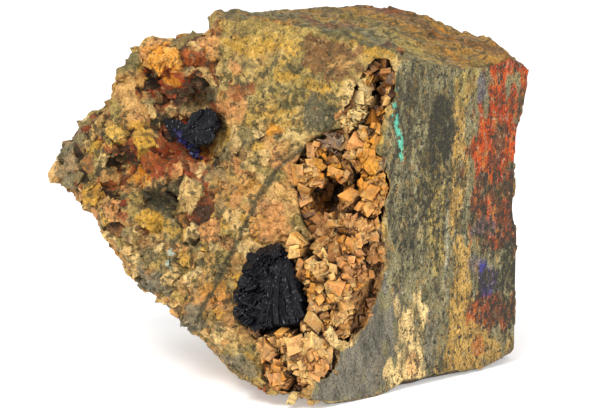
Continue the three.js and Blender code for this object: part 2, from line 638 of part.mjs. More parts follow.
// The upper fan: overlapping wedges, the side blade and the grains.
function fan() {
  const random = seeded(9);
  const wedges = FAN_ARC.slice(1).map((place, n) => {
    const normal = frontNormal.clone().addScaledVector(frontRight, n % 2 ? 0.24 : -0.16);
    const out = -FAN_DEPTH + (n % 2 ? 0.6 : 0);
    const apex = onFront([FAN_APEX[0] - 0.3 * n, FAN_APEX[1] + 0.2 * n], out);
    const first = onFront(FAN_ARC[n], out + 0.4);
    const last = onFront(place, out + 0.7);
    const overlap = first.clone().sub(last).multiplyScalar(0.12);
    const middle = first.clone().lerp(last, 0.5).sub(apex).multiplyScalar(1.12).add(apex);
    return plate([apex, first.add(overlap), middle, last.sub(overlap)], normal);
  });
  const sidePoints = FAN_SIDE.map((place) => onFront(place, -FAN_DEPTH));
  const side = plate(sidePoints, frontNormal.clone().addScaledVector(frontUp, 0.3));
  const grains = FAN_GRAINS.map((place) => {
    const axis = frontNormal.clone().addScaledVector(frontRight, random(-1, 1));
    return rhomb(onFront(place, -FAN_DEPTH), GRAIN_EDGE, axis, random(0, 2));
  });
  return largestBody(joined([...wedges, side, ...grains]));
}

// The pocket that a growth sits in: its hull, larger by the gap all round.
function pocketFor(solid) {
  const position = geometryOf(solid).attributes.position;
  const points = [];
  for (let i = 0; i < position.count; i++) points.push(new THREE.Vector3().fromBufferAttribute(position, i));
  const box = new THREE.Box3().setFromPoints(points);
  const centre = box.getCenter(new THREE.Vector3());
  const size = box.getSize(new THREE.Vector3());
  const share = new THREE.Vector3(1 / size.x, 1 / size.y, 1 / size.z);
  const grow = new THREE.Vector3(1, 1, 1).addScaledVector(share, 4 * GAP);
  return solidOf(new ConvexGeometry(points.map((p) => p.sub(centre).multiply(grow).add(centre))));
}

const lowerAzurite = rosette();
const upperAzurite = fan();
const pockets = pocketFor(lowerAzurite).add(pocketFor(upperAzurite));
const hollow = joined(HOLLOW.map((part) => lobe(part, 0)));
const hollowInside = joined(HOLLOW.map((part) => lobe(part, GAP)));
const openSpace = joined(OPEN_LOBES.map((i) => lobe(HOLLOW[i], CRUST_WALL)));

// The rock: broken block with crystals on its front, flat sawn face and foot, hollow and pockets.
const matrix = largestBody(
  joined([brokenBlock(), ...frontCrystals(seeded(23))])
    .subtract(beyond(sawnNormal, 0))
    .subtract(cutBox(new THREE.Vector3(0, 0, FOOT), new THREE.Vector3(0, 0, -1)))
    .subtract(chips())
    .subtract(hollow)
    .subtract(pockets),
);

// The crust of the hollow: a lining with the crystals fused to it, open towards the viewer.
const random = seeded(7);
const filling = hollowInside
  .subtract(openSpace)
  .subtract(beyond(frontNormal, -FILL_DEPTH))
  .subtract(beyond(sawnNormal, -FILL_DEPTH));
const crust = largestBody(
  joined([filling, ...wallRhombs(random), ...packedRhombs(random), ...largeRhombs(random)])
    .intersect(hollowInside)
    .subtract(beyond(frontNormal, CRUST_PROUD))
    .subtract(beyond(sawnNormal, SAWN_PROUD))
    .subtract(pockets),
);

const pieces = [
  ["dolomite_matrix", matrix, 0xb08a5a, 0.85],
  ["dolomite_crystal_crust", crust, 0xd9a06a, 0.5],
  ["azurite_rosette", lowerAzurite, 0x0c1024, 0.25],
  ["azurite_fan", upperAzurite, 0x10142c, 0.25],
];
const specimen = new THREE.Group();
for (const [name, solid, color, roughness] of pieces) {
  const material = new THREE.MeshStandardMaterial({ color, roughness, metalness: 0 });
  const mesh = new THREE.Mesh(geometryOf(solid), material);
  mesh.name = name;
  specimen.add(mesh);
}
specimen.position.set(-CENTRE.x, -CENTRE.y, -FOOT);

export default specimen;
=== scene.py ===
# Looks of the azurite on dolomite specimen. Lengths in this script are millimetres in the row frame,
# and turn to metres where a mesh is made.
import math

import bmesh
import bpy
import numpy as np
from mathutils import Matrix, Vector
from mathutils.bvhtree import BVHTree


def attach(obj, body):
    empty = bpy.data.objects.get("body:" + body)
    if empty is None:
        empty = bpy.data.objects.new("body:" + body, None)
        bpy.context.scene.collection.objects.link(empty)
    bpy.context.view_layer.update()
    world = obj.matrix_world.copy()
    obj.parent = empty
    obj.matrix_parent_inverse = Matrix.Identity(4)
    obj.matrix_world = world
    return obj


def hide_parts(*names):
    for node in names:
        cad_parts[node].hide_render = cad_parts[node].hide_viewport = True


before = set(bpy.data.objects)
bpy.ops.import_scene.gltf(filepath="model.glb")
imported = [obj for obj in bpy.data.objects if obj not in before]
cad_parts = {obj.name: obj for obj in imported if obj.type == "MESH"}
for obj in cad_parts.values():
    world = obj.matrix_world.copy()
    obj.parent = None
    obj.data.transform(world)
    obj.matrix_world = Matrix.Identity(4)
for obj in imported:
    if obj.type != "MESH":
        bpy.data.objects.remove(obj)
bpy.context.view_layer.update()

MM = 0.001
CORNER = np.array([4.5, -33.1, 2.6])  # low on the edge between the front and the sawn face
FRONT = np.array([-0.4169, -0.8548, 0.309])  # the front face looks this way
SAWN = np.array([math.sin(math.radians(40)), -math.cos(math.radians(40)), 0])
ALONG_SAWN = np.array([math.cos(math.radians(40)), math.sin(math.radians(40)), 0])
FRONT_RIGHT = np.array([0.8988, -0.4384, 0])
FRONT_UP = np.cross(FRONT, FRONT_RIGHT)
LAYERS = np.array([0.57, 0.82, 0])  # the rock's layers stand upright across this way

# Colours, as they look in daylight
TINTS = {
    "tan": (196, 155, 104),
    "pale tan": (216, 182, 128),
    "cream": (226, 196, 142),
    "peach": (208, 152, 104),
    "orange": (206, 140, 68),
    "bright orange": (228, 160, 84),
    "yellow": (202, 158, 80),
    "ochre": (172, 132, 76),
    "sawn ochre": (176, 143, 88),
    "olive yellow": (166, 146, 92),
    "olive": (118, 108, 72),
    "dark olive": (70, 66, 48),
    "near black": (46, 43, 33),
    "black": (26, 23, 19),
    "brown": (110, 68, 36),
    "rust": (138, 58, 28),
    "dark rust": (84, 36, 20),
    "red": (168, 76, 40),
    "brown red": (120, 88, 60),
    "grey": (122, 116, 98),
    "plain grey": (112, 107, 94),
    "grey olive": (128, 120, 90),
    "pale grey": (168, 162, 138),
    "slate olive": (96, 92, 72),
    "malachite": (108, 182, 156),
    "mint": (190, 206, 190),
    "crystal": (212, 152, 92),
    "pale crystal": (232, 184, 126),
    "amber": (214, 146, 56),
    "azurite blue": (66, 62, 128),
    "slate": (92, 96, 102),
    "plate grey": (168, 160, 148),
}


STUDIO = 1.16  # the studio's light makes every colour this many times brighter
VIVID = 1.2  # and its reflections pale, so the colours are this much stronger


def linear(name):
    """A colour from the list as linear light."""
    share = np.array(TINTS[name], float) / 255
    light = np.where(share <= 0.04045, share / 12.92, ((share + 0.055) / 1.055) ** 2.4)
    grey = light.mean()
    return np.clip(grey + VIVID * (light - grey), 0.002, 1) / STUDIO


# Stains of the front: place (x, z) in the front view, half size, colour, share.
FRONT_STAINS = [
    # The top edge, and the middle from there down
    ((2.1, 75.8), (18.8, 3.2), "olive yellow", 0.6),
    ((-8.4, 71.1), (6.4, 1.6), "yellow", 0.5),
    ((-5.8, 37.4), (4.2, 3.2), "peach", 0.6),
    ((-8.3, 42.1), (3.3, 2), "orange", 0.45),
    ((-15.7, 21.6), (3, 2.3), "orange", 0.5),
    ((-24.3, 32.2), (3, 1.8), "yellow", 0.6),
    # The slab at the top right, and the lip of the slot
    ((8.5, 69.7), (6.8, 3.4), "brown red", 1),
    ((-1, 66.2), (3, 1.2), "yellow", 0.6),
    ((5.2, 63.5), (2.9, 1.2), "yellow", 0.6),
    ((7.1, 58.1), (4.4, 3.6), "slate olive", 1),
    ((13, 60.5), (2.2, 5.3), "cream", 1),
    ((12, 57.1), (0.9, 1.8), "near black", 1),
    ((20.1, 68.9), (4, 2), "pale tan", 0.7),
    ((17.7, 65.2), (1.9, 1.7), "near black", 0.95),
    # Beside the hollow and the rosette
    ((2.7, 47.5), (4.5, 3.2), "peach", 0.8),
    ((-0.5, 42), (4.2, 4), "pale crystal", 0.65),
    ((-3.6, 34.5), (3.6, 4.6), "peach", 0.75),
    # A slit, painted black as the shade inside it
    ((-12.3, 19.4), (2.6, 0.8), "black", 0.9),
    # The lower edge
    ((-29.6, 21), (4.3, 2.8), "grey", 0.9),
    ((-22, 14.9), (4.8, 3.2), "grey", 0.9),
    ((-11.4, 7.4), (5, 2), "grey", 0.9),
    ((-6.1, 3.5), (3.2, 1.5), "rust", 0.8),
    # The left limb
    ((-48.1, 45), (2.7, 5.8), "grey", 0.6),
    ((-31.9, 50.9), (3.1, 2.9), "yellow", 0.85),
    ((-41.4, 48), (2.7, 1.8), "yellow", 0.85),
    ((-43.8, 43.7), (2, 2.9), "rust", 0.6),
    ((-29.2, 45.6), (6.2, 3), "rust", 0.9),
    ((-32.9, 43.2), (3.1, 2.6), "orange", 0.7),
    # About the upper hole and the small fan
    ((-25.2, 61.2), (7, 4.2), "rust", 1),
    ((-25.2, 67.5), (6.6, 2.5), "bright orange", 0.9),
    ((-33.9, 59.9), (3.3, 3.3), "tan", 0.85),
    ((-34.4, 65.8), (1.9, 2.3), "olive", 0.8),
    ((-25.2, 62.6), (2, 1), "orange", 0.8),
    ((-21.2, 59), (5.8, 3), "dark olive", 0.85),
    ((-15.4, 57.5), (1.7, 1.8), "rust", 0.9),
    ((-12.4, 58.5), (3, 3), "peach", 0.8),
    ((-10.5, 62.3), (3.9, 1.6), "rust", 0.65),
    ((-11.6, 67.2), (1.5, 1.2), "peach", 0.9),
    ((-3.5, 54), (1.9, 0.8), "orange", 0.9),
    # The lumps low on the limb
    ((-39.7, 39.4), (2.2, 1.6), "rust", 0.8),
    ((-35.2, 35.3), (2.2, 1.8), "rust", 0.8),
    ((-29.7, 33.6), (3, 2.1), "yellow", 0.85),
    ((-31.5, 31.3), (1.8, 1.2), "dark rust", 0.9),
    ((-21.3, 38.3), (2.2, 5.2), "pale tan", 0.85),
    # Under the small fan
    ((-24.4, 50.2), (5.6, 3.6), "rust", 0.95),
    ((-21.1, 44.7), (2, 2.8), "rust", 0.8),
    ((-18.1, 48.2), (2.2, 1.8), "orange", 0.8),
    # Holes and cracks, painted black and near black as the shade inside them
    ((-30, 61.6), (1.6, 1.9), "black", 1),
    ((-37.3, 43.9), (2, 1.6), "black", 1),
    ((-40.9, 42.3), (0.6, 1.4), "black", 0.9),
    ((-37.7, 37.7), (3.8, 0.6), "black", 0.9),
    ((-27.6, 38.3), (3.6, 2.9), "near black", 0.9),
    # Mint spots
    ((-24.9, 28.5), (0.9, 0.9), "mint", 0.9),
    ((-24.7, 25.7), (0.9, 1.4), "mint", 0.9),
]
# Where the front is full of dark specks: place, half size, share of specks.
FRONT_SPECKS = [
    ((-2, 62), (16, 8), 0.5), ((-21.2, 59.4), (6, 3.4), 0.9), ((-36, 44), (12, 12), 0.55),
    ((-22, 28), (9, 8), 0.55), ((-27.6, 38.3), (5, 4), 0.9), ((-10, 44), (9, 8), 0.35),
    ((7.1, 58.1), (4.6, 3.8), 0.7),
]
PLAIN_GREY = ((12, 11), (13.2, 13.2))  # the even grey part low on the sawn face: place and half size
# Stains of the sawn face: place (distance from the corner along the face, z), and so on.
SAWN_STAINS = [
    # The green and dark bands beside the vein
    ((33, 67), (12, 3), "grey olive", 0.9),
    ((33.5, 38.7), (4, 14), "olive yellow", 0.95),
    ((26.8, 33.2), (3.9, 9), "grey olive", 0.7),
    ((35, 54.1), (3, 8), "dark olive", 0.8),
    ((28.5, 63), (5, 6), "dark olive", 0.5),
    ((25.8, 55), (1.6, 9), "dark olive", 0.45),
    ((31.5, 47), (2.4, 3.4), "dark olive", 0.6),
    ((38.4, 60.5), (1.6, 3.6), "near black", 0.5),
    ((34.3, 42.9), (2.3, 3), "dark olive", 0.6),
    ((22.5, 62.3), (1.9, 6), "dark olive", 0.9),
    # Ochre strips and the red band
    ((40.3, 46.4), (2.6, 17), "sawn ochre", 1),
    ((42, 16.8), (4.1, 15), "sawn ochre", 1),
    ((53, 53.5), (8.6, 14), "red", 1),
    ((54.6, 65.5), (6.4, 4.6), "red", 0.95),
    ((50.5, 34.3), (7, 8.4), "red", 0.85),
    ((51, 13), (7, 4.4), "red", 0.8),
    ((46, 4.4), (12, 4.4), "sawn ochre", 0.9),
    ((47, 4.9), (3, 2), "red", 0.55),
    ((42.5, 63), (3.6, 4), "olive yellow", 0.8),
    # Dark streaks and spots in them
    ((46.1, 61.3), (1.4, 3.6), "slate", 0.85),
    ((47.6, 32.4), (2.9, 3.5), "slate", 0.7),
    ((53, 51.4), (1.6, 4), "dark olive", 0.75),
    ((41.5, 43.7), (1.2, 3.2), "dark olive", 0.75),
    ((47.4, 41.8), (2, 1.2), "dark olive", 0.8),
    ((52.7, 39.8), (3.8, 1.5), "dark olive", 0.7),
    # A spot and a ring of azurite
    ((45.4, 24.2), (1.4, 1.4), "azurite blue", 0.3),
    ((49.6, 21.4), (2.6, 3.7), "azurite blue", 0.95),
    ((49.4, 21.4), (1.3, 2.4), "dark olive", 0.8),
    # The lower left corner
    (*PLAIN_GREY, "plain grey", 1),
    ((27.3, 10), (4.4, 9.4), "cream", 0.95),
    ((23.6, 2.4), (3.4, 4.6), "cream", 0.9),
    ((27.8, 5.5), (2, 3.6), "peach", 0.55),
    ((33.1, 9), (1.5, 7.4), "grey", 0.85),
]
SAWN_SPECKS = [
    ((27, 46), (7, 22), 0.6), ((34, 42), (5, 20), 0.75), ((35, 54), (4, 9), 1),
    ((52, 36), (8, 12), 0.75), ((52, 55), (5, 6), 0.45), ((56.5, 26), (3.4, 19), 1),
    ((50, 16), (6, 8), 0.75), ((42, 40), (3, 12), 0.5),
]
# The tan vein's border on the sawn face as (height, distance along the face).
VEIN_BORDER = [
    (3.8, -2), (10.7, 4.3), (12.4, 11.9), (20.9, 16.8), (28.4, 20.7), (45.8, 19.9), (64.5, 20), (70.6, 21.3),
]
LIGHT_LINE = 37.4  # a pale upright line, this far along the sawn face
# The malachite thread on the sawn face, the same way, and the dark vein of the front as (x, z).
MALACHITE = [(63.9, 22.3), (59.8, 21.9), (54.1, 23.6), (49.9, 24.2)]
DARK_VEIN = [(2.1, 51), (-2.5, 47), (-7.1, 40.2), (-10.8, 32), (-14.2, 25.3), (-17.8, 18.4), (-19.9, 13.2)]
# Bands through the layers of the rock where no face shows more: (distance across the layers, colour).
LAYER_BANDS = [
    (-20, "tan"), (10, "tan"), (19, "tan"), (22, "olive"), (30, "grey olive"), (35, "olive yellow"),
    (40, "ochre"), (44, "olive"), (49, "ochre"), (54, "brown red"), (60, "ochre"), (70, "olive"),
]
# Tints of the front's blocks and of the crystals: colour, range of the block's or crystal's number, share.
BLOCK_TINTS = [
    ("pale tan", 0, 0.22, 1), ("peach", 0.22, 0.32, 0.7), ("cream", 0.32, 0.46, 1),
    ("yellow", 0.43, 0.53, 0.7), ("olive yellow", 0.53, 0.66, 0.8), ("grey olive", 0.66, 0.74, 0.8),
    ("olive", 0.74, 0.82, 0.8),
]
CRYSTAL_TINTS = [
    ("orange", 0, 0.2, 0.6), ("peach", 0.2, 0.45, 0.9), ("pale crystal", 0.6, 0.85, 0.9),
    ("cream", 0.85, 1, 0.6),
]
# Stains of the hollow's crystals, in the front view.
CRUST_STAINS = [
    # The column at the right, the slot and its lip, and the plates at the top
    ((17.6, 47), (3.6, 10), "amber", 0.85),
    ((19, 57), (3, 3.5), "amber", 0.85),
    ((17, 62), (2.4, 4), "brown", 0.6),
    ((13.7, 61), (2.4, 6.5), "cream", 0.95),
    ((9.5, 52.5), (3, 2.4), "plate grey", 0.85),
    # The blocks about the cave
    ((2, 47.8), (4, 2.6), "pale crystal", 0.8),
    ((9, 47), (3.2, 4), "amber", 0.5),
    ((7, 36), (5, 4), "brown", 0.45),
    ((-1.6, 41), (2.4, 2.4), "pale crystal", 0.8),
    # The right side and the bottom
    ((17, 34), (5, 10), "peach", 0.5),
    ((-3, 13), (6, 2.6), "pale crystal", 0.7),
    ((10, 19), (6, 6), "pale crystal", 0.3),
]


# Numbers that vary over space
AXIS_FACTORS = (374761393, 668265263, 2147483647)  # large primes, one for each axis of a cell
SALT_FACTOR = 97531
STIRS = ((13, 1274126177), (15, 2246822519))  # shift and factor of each round of mixing the bits
BITS_32, BITS_24 = 0xFFFFFFFF, 0xFFFFFF


def hashed(cells, salt):
    """A number from 0 to 1 for each whole-number cell."""
    value = sum(cells[..., axis] * factor for axis, factor in enumerate(AXIS_FACTORS)) + salt * SALT_FACTOR
    value = value & BITS_32
    for shift, factor in STIRS:
        value = ((value ^ (value >> shift)) * factor) & BITS_32
    return ((value ^ (value >> 16)) & BITS_24) / BITS_24


def smooth(value, low, high):
    """0 up to low, 1 from high, with a soft step between."""
    t = np.clip((value - low) / (high - low), 0, 1)
    return t * t * (3 - 2 * t)


def noise(points, size, salt):
    """Smooth noise from -1 to 1."""
    place = points / size
    base = np.floor(place).astype(np.int64)
    t = place - base
    t = t * t * (3 - 2 * t)
    total = np.zeros(len(points))
    for corner in range(8):
        step = np.array([corner & 1, corner >> 1 & 1, corner >> 2 & 1])
        weight = np.prod(np.where(step, t, 1 - t), axis=1)
        total += weight * hashed(base + step, salt)
    return 2 * total - 1


def layered(points, size, salt, octaves=4):
    """Noise of several sizes, from about -1 to 1."""
    total = np.zeros(len(points))
    for octave in range(octaves):
        total += noise(points, size / 2**octave, salt + 7 * octave) * 0.5**octave
    return total / 1.2


def cells(points, size, salt):
    """The cell that each point lies in: its numbers, the way to its seed, and how near its border is."""
    base = np.floor(points / size).astype(np.int64)
    best = np.full(len(points), np.inf)
    second = np.full(len(points), np.inf)
    owner = base.copy()
    for n in range(27):
        cell = base + np.array([n % 3 - 1, n // 3 % 3 - 1, n // 9 - 1])
        jitter = np.stack([hashed(cell, salt + k) for k in range(3)], axis=1)
        far = np.linalg.norm((cell + jitter) * size - points, axis=1)
        closer = far < best
        second = np.where(closer, best, np.minimum(second, far))
        best = np.where(closer, far, best)
        owner[closer] = cell[closer]
    jitter = np.stack([hashed(owner, salt + k) for k in range(3)], axis=1)
    return owner, (owner + jitter) * size - points, (second - best) / size


def facets(points, size, salt):
    """Height of a surface broken into flat facets, from about -1 to 1 cell sizes."""
    owner, offset, _ = cells(points, size, salt)
    level = hashed(owner, salt + 3) - 0.5
    tilt = np.stack([hashed(owner, salt + 4 + k) - 0.5 for k in range(3)], axis=1)
    return level + 1.4 * (tilt * offset).sum(1) / size


def blob(a, b, centre, half, ragged=0.0):
    """A stain about a centre; ragged is noise that frays its edge."""
    reach = np.hypot((a - centre[0]) / half[0], (b - centre[1]) / half[1])
    return 1 - smooth(reach + ragged, 0.82, 1.12)


def line_distance(a, b, line):
    """Distance in a plane from each point (a, b) to a broken line."""
    nearest = np.full(len(a), np.inf)
    for (a0, b0), (a1, b1) in zip(line, line[1:]):
        da, db = a1 - a0, b1 - b0
        share = np.clip(((a - a0) * da + (b - b0) * db) / (da**2 + db**2), 0, 1)
        nearest = np.minimum(nearest, np.hypot(a - a0 - share * da, b - b0 - share * db))
    return nearest


def behind(points, facing):
    """How far points lie behind the front (facing FRONT) or behind the sawn face (facing SAWN)."""
    return (CORNER - points) @ facing


def blend_to(colour, name, share):
    return colour + (linear(name) - colour) * share[:, None]


def picked(colour, pick, tints):
    """Each block or crystal in the tint whose range holds its number."""
    for name, start, end, share in tints:
        colour = blend_to(colour, name, ((pick > start) & (pick <= end)) * share)
    return colour


def stain_share(a, b, stains, least):
    """Share of specks at places of a face: the largest of the stains there, or the least."""
    share_there = np.full(len(a), least)
    for at, half, share in stains:
        share_there = np.maximum(share_there, share * blob(a, b, at, half))
    return share_there


# Colours of the rock
BLOCK_SIZES = (2.6, 4.4)  # of the cleavage blocks: usual, and on the rusty limb at the left
BLOCK_SALT = 41
SEAM_DEPTH = 0.25


def limb_share(p):
    """1 on the rusty limb at the left, 0 on the rest."""
    return smooth(-p[:, 0] + 2 * layered(p, 6, 131), 13, 17) * smooth(p[:, 2], 26, 34)


def blocks(p):
    """The cleavage block that each point lies on: a number from 0 to 1, and the height of its face."""
    on_limb = limb_share(p) > 0.5
    pick, height = np.zeros(len(p)), np.zeros(len(p))
    for which, size in zip((~on_limb, on_limb), BLOCK_SIZES):
        owner, _, border = cells(p[which], size, BLOCK_SALT)
        pick[which] = hashed(owner, 5)
        seam = SEAM_DEPTH * (1 - smooth(border, 0.02, 0.2))
        height[which] = facets(p[which], size, BLOCK_SALT) * size / BLOCK_SIZES[0] - seam
    return pick, height


def front_colour(p):
    """The broken dolomite: blocks with their own colours, dark seams, and stains over them."""
    x, z = p[:, 0] + 1.2 * layered(p, 4, 11), p[:, 2] + 1.2 * layered(p, 4, 31)
    ragged = 0.42 * layered(p, 1.6, 21, 3)
    pick, height = blocks(p)
    limb = limb_share(p)
    low = smooth(-height + 0.35 * layered(p, 2, 141), 0.15, 0.8)
    colour = picked(np.tile(linear("tan"), (len(p), 1)), pick, BLOCK_TINTS)
    slab = smooth(p[:, 2] + 0.4 * p[:, 0], 50, 58) * (1 - limb)
    colour = blend_to(colour, "olive yellow", slab * 0.55)
    streaks = layered(p * np.array([0.45, 0.45, 1.6]), 2.4, 161)
    colour = blend_to(colour, "yellow", slab * smooth(streaks, 0.2, 0.6) * 0.6)
    colour = blend_to(colour, "olive", slab * smooth(-streaks, 0.1, 0.5) * 0.6)
    colour = blend_to(colour, "peach", smooth(layered(p, 9, 51), 0, 0.5) * 0.3 * (1 - slab))
    colour = blend_to(colour, "olive yellow", smooth(layered(p, 8, 61), 0.1, 0.6) * 0.35)
    colour = blend_to(colour, "olive", low * (1 - limb) * 0.5)
    stained = np.zeros(len(p))
    for at, half, name, share in FRONT_STAINS:
        spot = blob(x, z, at, half, ragged) * share * (0.85 + 0.15 * pick)
        colour = blend_to(colour, name, spot)
        stained = np.maximum(stained, spot)
    rusty = smooth(low + 0.6 * layered(p, 4.5, 171), 0.3, 0.75)
    colour = blend_to(colour, "rust", rusty * limb * 0.85)
    # painted shade: near black in the lowest places of the rusty limb, for its pits
    colour = blend_to(colour, "near black", smooth(low + 0.7 * layered(p, 3, 151), 0.75, 1.1) * limb * 0.9)
    vein = line_distance(p[:, 0] + 0.4 * layered(p, 2, 71), p[:, 2], DARK_VEIN)
    colour = blend_to(colour, "dark olive", (1 - smooth(vein, 0.3, 0.8)) * 0.9)
    return colour, stain_share(x, z, FRONT_SPECKS, 0.3) * (1 - 0.6 * stained)


def sawn_colour(p):
    """The sawn face: upright bands, stains, and the tan vein at its left edge."""
    off = p - CORNER
    stretch = p * np.array([1, 1, 0.45])
    u = off @ ALONG_SAWN + 1.3 * layered(stretch, 4, 15)
    z = p[:, 2] + 2 * layered(stretch, 4, 25)
    ragged = 0.75 * layered(stretch, 2.2, 27, 4)
    colour = np.tile(linear("grey olive"), (len(p), 1))
    for at, half, name, share in SAWN_STAINS:
        colour = blend_to(colour, name, blob(u, z, at, half, ragged) * share)
    plain = blob(u, z, *PLAIN_GREY)
    specks = stain_share(u, z, SAWN_SPECKS, 0.35) * (1 - 0.8 * plain)
    side = off @ ALONG_SAWN
    light_line = 1 - smooth(np.abs(side - LIGHT_LINE + 0.3 * layered(p, 5, 85)), 0.2, 0.6)
    light_line = light_line * blob(side, p[:, 2], (LIGHT_LINE, 30), (3, 12))
    colour = blend_to(colour, "pale grey", light_line * 0.8)
    border = np.interp(p[:, 2], *zip(*VEIN_BORDER))
    in_vein = 1 - smooth(side - border + 0.8 * layered(p, 2.5, 35), -0.5, 0.4)
    broken, broken_specks = front_colour(p)
    colour = colour + (broken - colour) * in_vein[:, None]
    specks = specks + (broken_specks * 0.7 - specks) * in_vein
    specks = specks + 0.15 * smooth(layered(stretch, 5, 181), 0, 0.6) * (1 - plain)
    thread = line_distance(p[:, 2], side + 0.5 * layered(p, 1.6, 45), MALACHITE)
    colour = blend_to(colour, "black", (1 - smooth(thread, 0.8, 1.8)) * 0.65 * (noise(p, 1, 55) > -0.3))
    green = (1 - smooth(thread, 0.4, 0.8)) * (noise(p, 0.9, 65) > -0.4)
    colour = blend_to(colour, "malachite", green)
    specks = specks * (1 - green) - 0.3 * green
    return colour, specks


def layer_colour(p):
    """Faces that only show the rock's layers: the top, the back and the underside."""
    across = (p - CORNER) @ LAYERS + 2.2 * layered(p, 12, 75)
    edges = [row[0] for row in LAYER_BANDS]
    bands = np.array([linear(row[1]) for row in LAYER_BANDS])
    colour = np.stack([np.interp(across, edges, bands[:, k]) for k in range(3)], axis=1)
    streaks = layered(np.stack([(p - CORNER) @ LAYERS * 3.2, p[:, 0] * 0.35, p[:, 2] * 0.35], axis=1), 3, 95)
    colour = blend_to(colour, "orange", smooth(streaks, 0.3, 0.6) * 0.5)
    colour = blend_to(colour, "grey", smooth(-streaks, 0.15, 0.6) * 0.55)
    colour = blend_to(colour, "rust", smooth(layered(p, 11, 105), 0.3, 0.65) * 0.55)
    return colour, np.full(len(p), 0.5)


def rock_colour(p, normal):
    """Colour and dark specks at points of the rock, and their shares of the front and of the sawn face."""
    on_sawn = smooth(normal @ SAWN, 0.72, 0.9) * (1 - smooth(behind(p, SAWN), 0.5, 1.4))
    on_top = smooth(normal[:, 2] + 0.1 * layered(p, 5, 125), 0.72, 0.9)
    on_top = on_top * smooth(p[:, 2], 64, 68) * smooth(p[:, 0], -20, -14)
    on_front = (1 - smooth(behind(p, FRONT) + 2.5 * layered(p, 8, 115), 5, 13)) * (1 - on_top)
    colour, specks = layer_colour(p)
    for share, (other, other_specks) in ((on_front, front_colour(p)), (on_sawn, sawn_colour(p))):
        colour = colour + (other - colour) * share[:, None]
        specks = specks + (other_specks - specks) * share
    return colour, specks, on_front, on_sawn


def crust_colour(p):
    """The crystals of the hollow: each with its own tint, stains over them, and painted shade that darkens
    them in the depth.
    """
    x, z = p[:, 0] + 0.8 * layered(p, 3, 12), p[:, 2] + 0.8 * layered(p, 3, 22)
    owner, _, _ = cells(p, 3.2, 33)
    colour = picked(np.tile(linear("crystal"), (len(p), 1)), hashed(owner, 9), CRYSTAL_TINTS)
    for at, half, name, share in CRUST_STAINS:
        colour = blend_to(colour, name, blob(x, z, at, half) * share)
    # painted shade: brown and then black the deeper a point lies behind the front
    depth = behind(p, FRONT)
    colour = blend_to(colour, "brown", smooth(depth, 3, 10) * 0.45)
    return blend_to(colour, "black", smooth(depth, 6, 14) * 0.9)


# Meshes
def arrays_of(mesh):
    """Vertices in mm, normals and triangles of a mesh."""
    count = len(mesh.vertices)
    points, normals = np.zeros(count * 3), np.zeros(count * 3)
    mesh.vertices.foreach_get("co", points)
    mesh.vertices.foreach_get("normal", normals)
    mesh.calc_loop_triangles()
    triangles = np.zeros(len(mesh.loop_triangles) * 3, int)
    mesh.loop_triangles.foreach_get("vertices", triangles)
    return points.reshape(-1, 3) / MM, normals.reshape(-1, 3), triangles.reshape(-1, 3)


def set_points(mesh, points):
    mesh.vertices.foreach_set("co", (points * MM).ravel())
    mesh.update()


def set_number(mesh, name, values):
    attribute = mesh.attributes.get(name) or mesh.attributes.new(name, "FLOAT", "POINT")
    attribute.data.foreach_set("value", np.asarray(values, np.float32))


def set_colour(mesh, colour):
    attribute = mesh.attributes.get("tint") or mesh.attributes.new("tint", "FLOAT_COLOR", "POINT")
    rgba = np.concatenate([np.clip(colour, 0, 1), np.ones((len(colour), 1))], axis=1)
    attribute.data.foreach_set("color", rgba.astype(np.float32).ravel())


def baked(obj):
    """The object with its modifiers applied."""
    evaluated = obj.evaluated_get(bpy.context.evaluated_depsgraph_get())
    mesh = bpy.data.meshes.new_from_object(evaluated)
    obj.modifiers.clear()
    obj.data = mesh
    return obj


def linked(name, data):
    """A new object of the scene."""
    obj = bpy.data.objects.new(name, data)
    bpy.context.scene.collection.objects.link(obj)
    return obj


def remeshed(node, name, voxel):
    """A closed, even mesh of a CAD node."""
    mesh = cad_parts[node].data.copy()
    work = bmesh.new()
    work.from_mesh(mesh)
    bmesh.ops.remove_doubles(work, verts=work.verts, dist=1e-6)
    work.to_mesh(mesh)
    work.free()
    obj = linked(name, mesh)
    modifier = obj.modifiers.new("remesh", "REMESH")
    modifier.mode = "VOXEL"
    modifier.voxel_size = voxel * MM
    return baked(obj)


KEEP_STEPS = 4


def thinned(obj, target, keep):
    """Fewer triangles, with keep as the share of care for each vertex."""
    count = len(arrays_of(obj.data)[2])
    if count <= target:
        return obj
    group = obj.vertex_groups.new(name="keep")
    steps = np.round(keep * KEEP_STEPS).astype(int)
    for step in range(KEEP_STEPS + 1):
        group.add(np.nonzero(steps == step)[0].tolist(), 1 - step / KEEP_STEPS, "REPLACE")
    modifier = obj.modifiers.new("thin", "DECIMATE")
    modifier.ratio = target / count
    modifier.vertex_group = "keep"
    modifier.vertex_group_factor = 2
    return baked(obj)


def mesh_object(name, points, faces):
    """A new object from points in mm and faces."""
    mesh = bpy.data.meshes.new(name)
    mesh.from_pydata((points * MM).tolist(), [], faces.tolist() if hasattr(faces, "tolist") else faces)
    mesh.update()
    return linked(name, mesh)


def bevelled(obj, width):
    modifier = obj.modifiers.new("bevel", "BEVEL")
    modifier.width = width * MM
    modifier.segments = 1
    return baked(obj)


def above_floor(points, lowest=0.02):
    """The points, none of them lower than lowest."""
    points[:, 2] = np.maximum(points[:, 2], lowest)
    return points


def cut_by_saw(points, reach, share=1.0):
    """The points, none of them further past the sawn face than reach, where share is 1."""
    over = np.maximum((points - CORNER) @ SAWN - reach, 0) * share
    return points - SAWN * over[:, None]


def on_front_plane(x, z, out):
    """Points of the front plane seen at (x, z) in the front view, moved out along its normal."""
    x, z, out = np.broadcast_arrays(np.asarray(x, float), np.asarray(z, float), np.asarray(out, float))
    y = CORNER[1] - ((x - CORNER[0]) * FRONT[0] + (z - CORNER[2]) * FRONT[2]) / FRONT[1]
    return np.stack([x, y, z], axis=-1) + out[..., None] * FRONT


